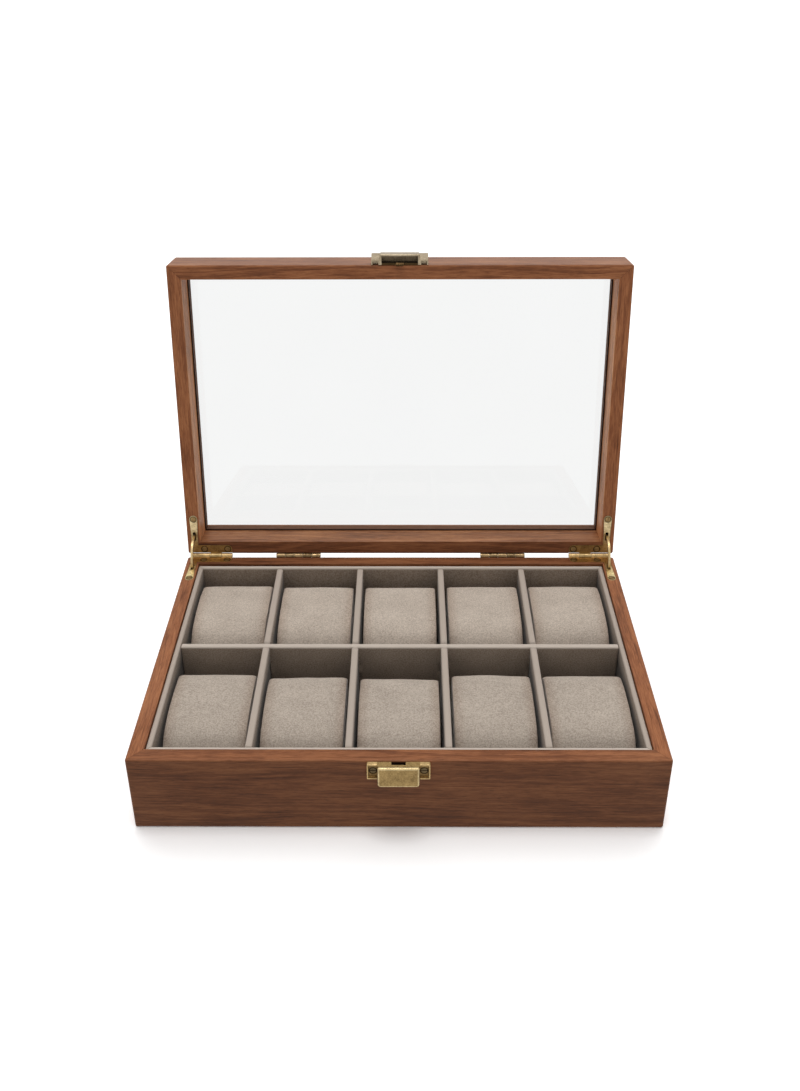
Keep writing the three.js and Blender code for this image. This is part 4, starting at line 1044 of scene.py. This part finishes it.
def divider(name, along_x, at, half, crossings, notch_from_top, seed):
    """A divider on edge, halved over its crossings from above or below."""
    thick = DIVIDER_THICKNESS / 2
    section = outline(-thick, thick, BOARD_FOOT_Z, DIVIDER_TOP, *DIVIDER_ROUNDS)
    slot = thick + FIT_GAP
    edges = (-slot - NOTCH_RAMP, -slot, slot, slot + NOTCH_RAMP)
    breaks = [c + edge for c in crossings for edge in edges]
    tall = DIVIDER_TOP - FLOOR_TOP
    below = (HALVING - FLOOR_TOP) / tall
    above = (DIVIDER_TOP - HALVING - FIT_GAP) / tall
    rings = []
    for s, inset in stations(half, DIVIDER_END_ROUND, breaks):
        inside = any(abs(s - c) <= slot + NOTCH_RAMP / 100 for c in crossings)
        ring = []
        for u, v, nu, nv in section:
            u, v = u - nu * inset, v - nv * inset
            if inside and notch_from_top:
                v = FLOOR_TOP + (v - FLOOR_TOP) * below
            elif inside:
                v = DIVIDER_TOP - (DIVIDER_TOP - v) * above
            ring.append((s, at + u, v) if along_x else (at + u, s, v))
        rings.append(ring)
    make_board(name, rings, board_suede(along_x), rough_mm=0.05, seed=seed)


for i, side in enumerate(WALLS):
    lining(side, seed=3.1 + i)
floor_board()
divider(
    "long_divider",
    along_x=True,
    at=LONG_DIVIDER_Y,
    half=LINING_INNER[0] - FIT_GAP,
    crossings=DIVIDER_X,
    notch_from_top=False,
    seed=12.4,
)
for i, x in enumerate(DIVIDER_X):
    divider(
        "cross_divider_%d" % (i + 1),
        along_x=False,
        at=x,
        half=LINING_INNER[1] - FIT_GAP,
        crossings=[LONG_DIVIDER_Y],
        notch_from_top=True,
        seed=14.0 + i,
    )

# watch pillows

PILLOW_NODE = "watch_pillow_front_3"
PILLOW_WELD = 0.002
PILLOW_INSET = 0.2
PILLOW_VOXEL = 1.8
PILLOW_FRAMES = 20
PILLOW_PRESSURE = 4
PILLOW_SWELL = 0.6
PILLOW_FILL_OUT = (1.07, 1.0, 1.025)
# How far the ends of the upper edges are lifted, each with how sharply that grows towards them.
PILLOW_EDGE_LIFT = ((1.15, 2), (0.8, 14))
PILLOW_PAST_SOLID = (0.15, 0.15, 0)
PILLOW_WAVE = (0.6, 24.0)
PILLOW_SEED_STEP = 5.7
PILLOW_MARGIN_SHADE = (18.5, 25.5)
PILLOW_DARK = (0.325, 0.27, 0.222)
PILLOW_PALE = (0.585, 0.505, 0.425)


def pillow_margin_shade(g, place):
    """The left and right margins of a pillow, with painted shade where its top rolls off, partly
    standing for the suede drawn round the edge.
    """
    x = g.xyz(place)[0]
    column = g.maths("ROUND", g.maths("DIVIDE", x, CELL_PITCH))
    from_middle = g.maths("SUBTRACT", x, g.maths("MULTIPLY", column, CELL_PITCH))
    return g.span(g.maths("ABSOLUTE", from_middle), *PILLOW_MARGIN_SHADE)


# Painted light and shade: the rear row lighter and the front row darker; painted shade at each
# pillow's margins.
PILLOW_SUEDE = {
    row: suede(
        "suede_pillows_" + row,
        tuple(c * shade for c in PILLOW_DARK),
        tuple(c * shade for c in PILLOW_PALE),
        seed,
        sheen=0.45,
        tones=((pillow_margin_shade, (0.84, 0.79, 0.76)),),
    )
    for row, shade, seed in (("rear", 1.1, 5.3), ("front", 0.95, 6.9))
}


def bake_modifiers(obj):
    """Replaces the object's mesh by what its modifiers make of it."""
    obj.data = evaluated_mesh(obj)
    obj.modifiers.clear()


def evaluated_mesh(obj):
    graph = bpy.context.evaluated_depsgraph_get()
    return bpy.data.meshes.new_from_object(obj.evaluated_get(graph), depsgraph=graph)


def blow_up(obj):
    """Runs the cloth, and moves each point outwards by what it gives, to PILLOW_SWELL at most."""
    cloth = obj.modifiers.new("cloth", "CLOTH")
    cloth.settings.use_pressure = True
    cloth.settings.uniform_pressure_force = PILLOW_PRESSURE
    cloth.settings.quality = 6
    cloth.settings.effector_weights.gravity = 0
    cloth.point_cache.frame_start = 1
    cloth.point_cache.frame_end = PILLOW_FRAMES
    for number in range(1, PILLOW_FRAMES + 1):
        SCENE.frame_set(number)
    blown = evaluated_mesh(obj)
    obj.modifiers.clear()
    SCENE.frame_set(1)
    normals = [v.normal.copy() for v in obj.data.vertices]
    for v, w, n in zip(obj.data.vertices, blown.vertices, normals):
        move = w.co - v.co
        move -= n * min(0.0, move.dot(n))
        if move.length > PILLOW_SWELL * MM:
            move *= PILLOW_SWELL * MM / move.length
        v.co += move


def pillow_form():
    """One pillow about its box's middle: a shrunk copy of the solid, blown up as cloth."""
    low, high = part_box(PILLOW_NODE)
    middle, half = (low + high) / 2, (high - low) / 2
    shape = bmesh.new()
    shape.from_mesh(NODES[PILLOW_NODE].data)
    bmesh.ops.remove_doubles(shape, verts=shape.verts, dist=PILLOW_WELD * MM)
    shape.transform(Matrix.Translation(-middle))
    shrink = Vector([1 - PILLOW_INSET * MM / h for h in half])
    for v in shape.verts:
        v.co = Vector([c * s for c, s in zip(v.co, shrink)])
    mesh = bpy.data.meshes.new("pillow_form")
    shape.to_mesh(mesh)
    shape.free()
    obj = bpy.data.objects.new("pillow_form", mesh)
    SCENE.collection.objects.link(obj)
    remesh = obj.modifiers.new("remesh", "REMESH")
    remesh.mode = "VOXEL"
    remesh.voxel_size = PILLOW_VOXEL * MM
    bake_modifiers(obj)
    blow_up(obj)
    fine = obj.modifiers.new("fine", "SUBSURF")
    fine.levels = fine.render_levels = 1
    bake_modifiers(obj)
    reach = half + Vector(PILLOW_PAST_SOLID) * MM
    for v in obj.data.vertices:
        share = min(1.0, abs(v.co.x) / half.x)
        rise = min(1.0, max(0.0, v.co.z / half.z))
        v.co.z += rise * MM * sum(lift * share**power for lift, power in PILLOW_EDGE_LIFT)
        v.co = held([c * s for c, s in zip(v.co, PILLOW_FILL_OUT)], reach)
    mesh = obj.data
    bpy.data.objects.remove(obj)
    return mesh, half


def make_pillows():
    form, half = pillow_form()
    places = [(row, i) for row in ("rear", "front") for i in range(1, COLUMNS + 1)]
    for number, (row, i) in enumerate(places, 1):
        node = "watch_pillow_%s_%d" % (row, i)
        low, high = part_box(node)
        mesh = form.copy()
        obj = bpy.data.objects.new("padded_%s_%d" % (row, i), mesh)
        SCENE.collection.objects.link(obj)
        roughen(obj, *PILLOW_WAVE, number * PILLOW_SEED_STEP, half)
        mesh.transform(Matrix.Translation((low + high) / 2))
        for polygon in mesh.polygons:
            polygon.use_smooth = True
        mesh.materials.clear()
        mesh.materials.append(PILLOW_SUEDE[row])
        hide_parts(node)
        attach(obj, "pillow_%s_%d" % (row, i))


make_pillows()

# floor, light and world

FLOOR_HALF_M = 30.0
FLOOR_LIT = 0.67
FLOOR_BOUNCE = 0.55
# Name, strength, width and tilt in degrees, and whether gloss and glass show it.
SUNS = (("overhead", 0.9, 20, 0, True), ("behind", 1.2, 60, -35, False))
WORLD_FILL = 0.44


def ray_kinds(tree):
    """Sockets that are 1 for the camera's rays, and for rays that come by gloss or through glass."""
    path = tree.nodes.new("ShaderNodeLightPath")
    gloss = tree.nodes.new("ShaderNodeMath")
    gloss.operation = "MAXIMUM"
    tree.links.new(path.outputs["Is Glossy Ray"], gloss.inputs[0])
    tree.links.new(path.outputs["Is Transmission Ray"], gloss.inputs[1])
    return path.outputs["Is Camera Ray"], gloss.outputs[0]


def diffuse(tree, grey):
    node = tree.nodes.new("ShaderNodeBsdfDiffuse")
    node.inputs["Color"].default_value = (grey, grey, grey, 1)
    return node


def make_floor():
    """White where it is lit, with the object's shadow for the camera; plain white to gloss and
    glass; and a mid grey for the light that it sends back, so that it doesn't light the object."""
    material = bpy.data.materials.new("floor_white")
    material.use_nodes = True
    tree = material.node_tree
    tree.nodes.clear()
    camera_ray, gloss_ray = ray_kinds(tree)
    lit = diffuse(tree, FLOOR_LIT)
    shown = tree.nodes.new("ShaderNodeAddShader")
    for socket in shown.inputs:
        tree.links.new(lit.outputs[0], socket)
    white = tree.nodes.new("ShaderNodeEmission")
    other = mix_shaders(tree, gloss_ray, diffuse(tree, FLOOR_BOUNCE), white)
    both = mix_shaders(tree, camera_ray, other, shown)
    out = tree.nodes.new("ShaderNodeOutputMaterial")
    tree.links.new(both.outputs[0], out.inputs["Surface"])
    half = FLOOR_HALF_M
    corners = [(-half, -half, 0), (half, -half, 0), (half, half, 0), (-half, half, 0)]
    floor = make_object("floor", corners, [(0, 1, 2, 3)], material, smooth=False)


def make_light():
    for name, strength, width, tilt, in_gloss in SUNS:
        data = bpy.data.lights.new(name, "SUN")
        data.energy = strength
        data.angle = math.radians(width)
        sun = bpy.data.objects.new(name, data)
        SCENE.collection.objects.link(sun)
        sun.rotation_euler = (math.radians(tilt), 0, 0)
        sun.visible_glossy = sun.visible_transmission = in_gloss
    world = bpy.data.worlds.new("studio")
    SCENE.world = world
    world.use_nodes = True
    tree = world.node_tree
    tree.nodes.clear()
    out = tree.nodes.new("ShaderNodeOutputWorld")
    fill, white = (tree.nodes.new("ShaderNodeBackground") for _ in range(2))
    for background, strength in ((fill, WORLD_FILL), (white, 1.0)):
        background.inputs["Color"].default_value = (1, 1, 1, 1)
        background.inputs["Strength"].default_value = strength
    camera_ray, gloss_ray = ray_kinds(tree)
    seen = mix_shaders(tree, gloss_ray, fill, white)
    both = mix_shaders(tree, camera_ray, seen, white)
    tree.links.new(both.outputs[0], out.inputs["Surface"])


make_floor()
make_light()
SCENE.view_settings.view_transform = "Standard"
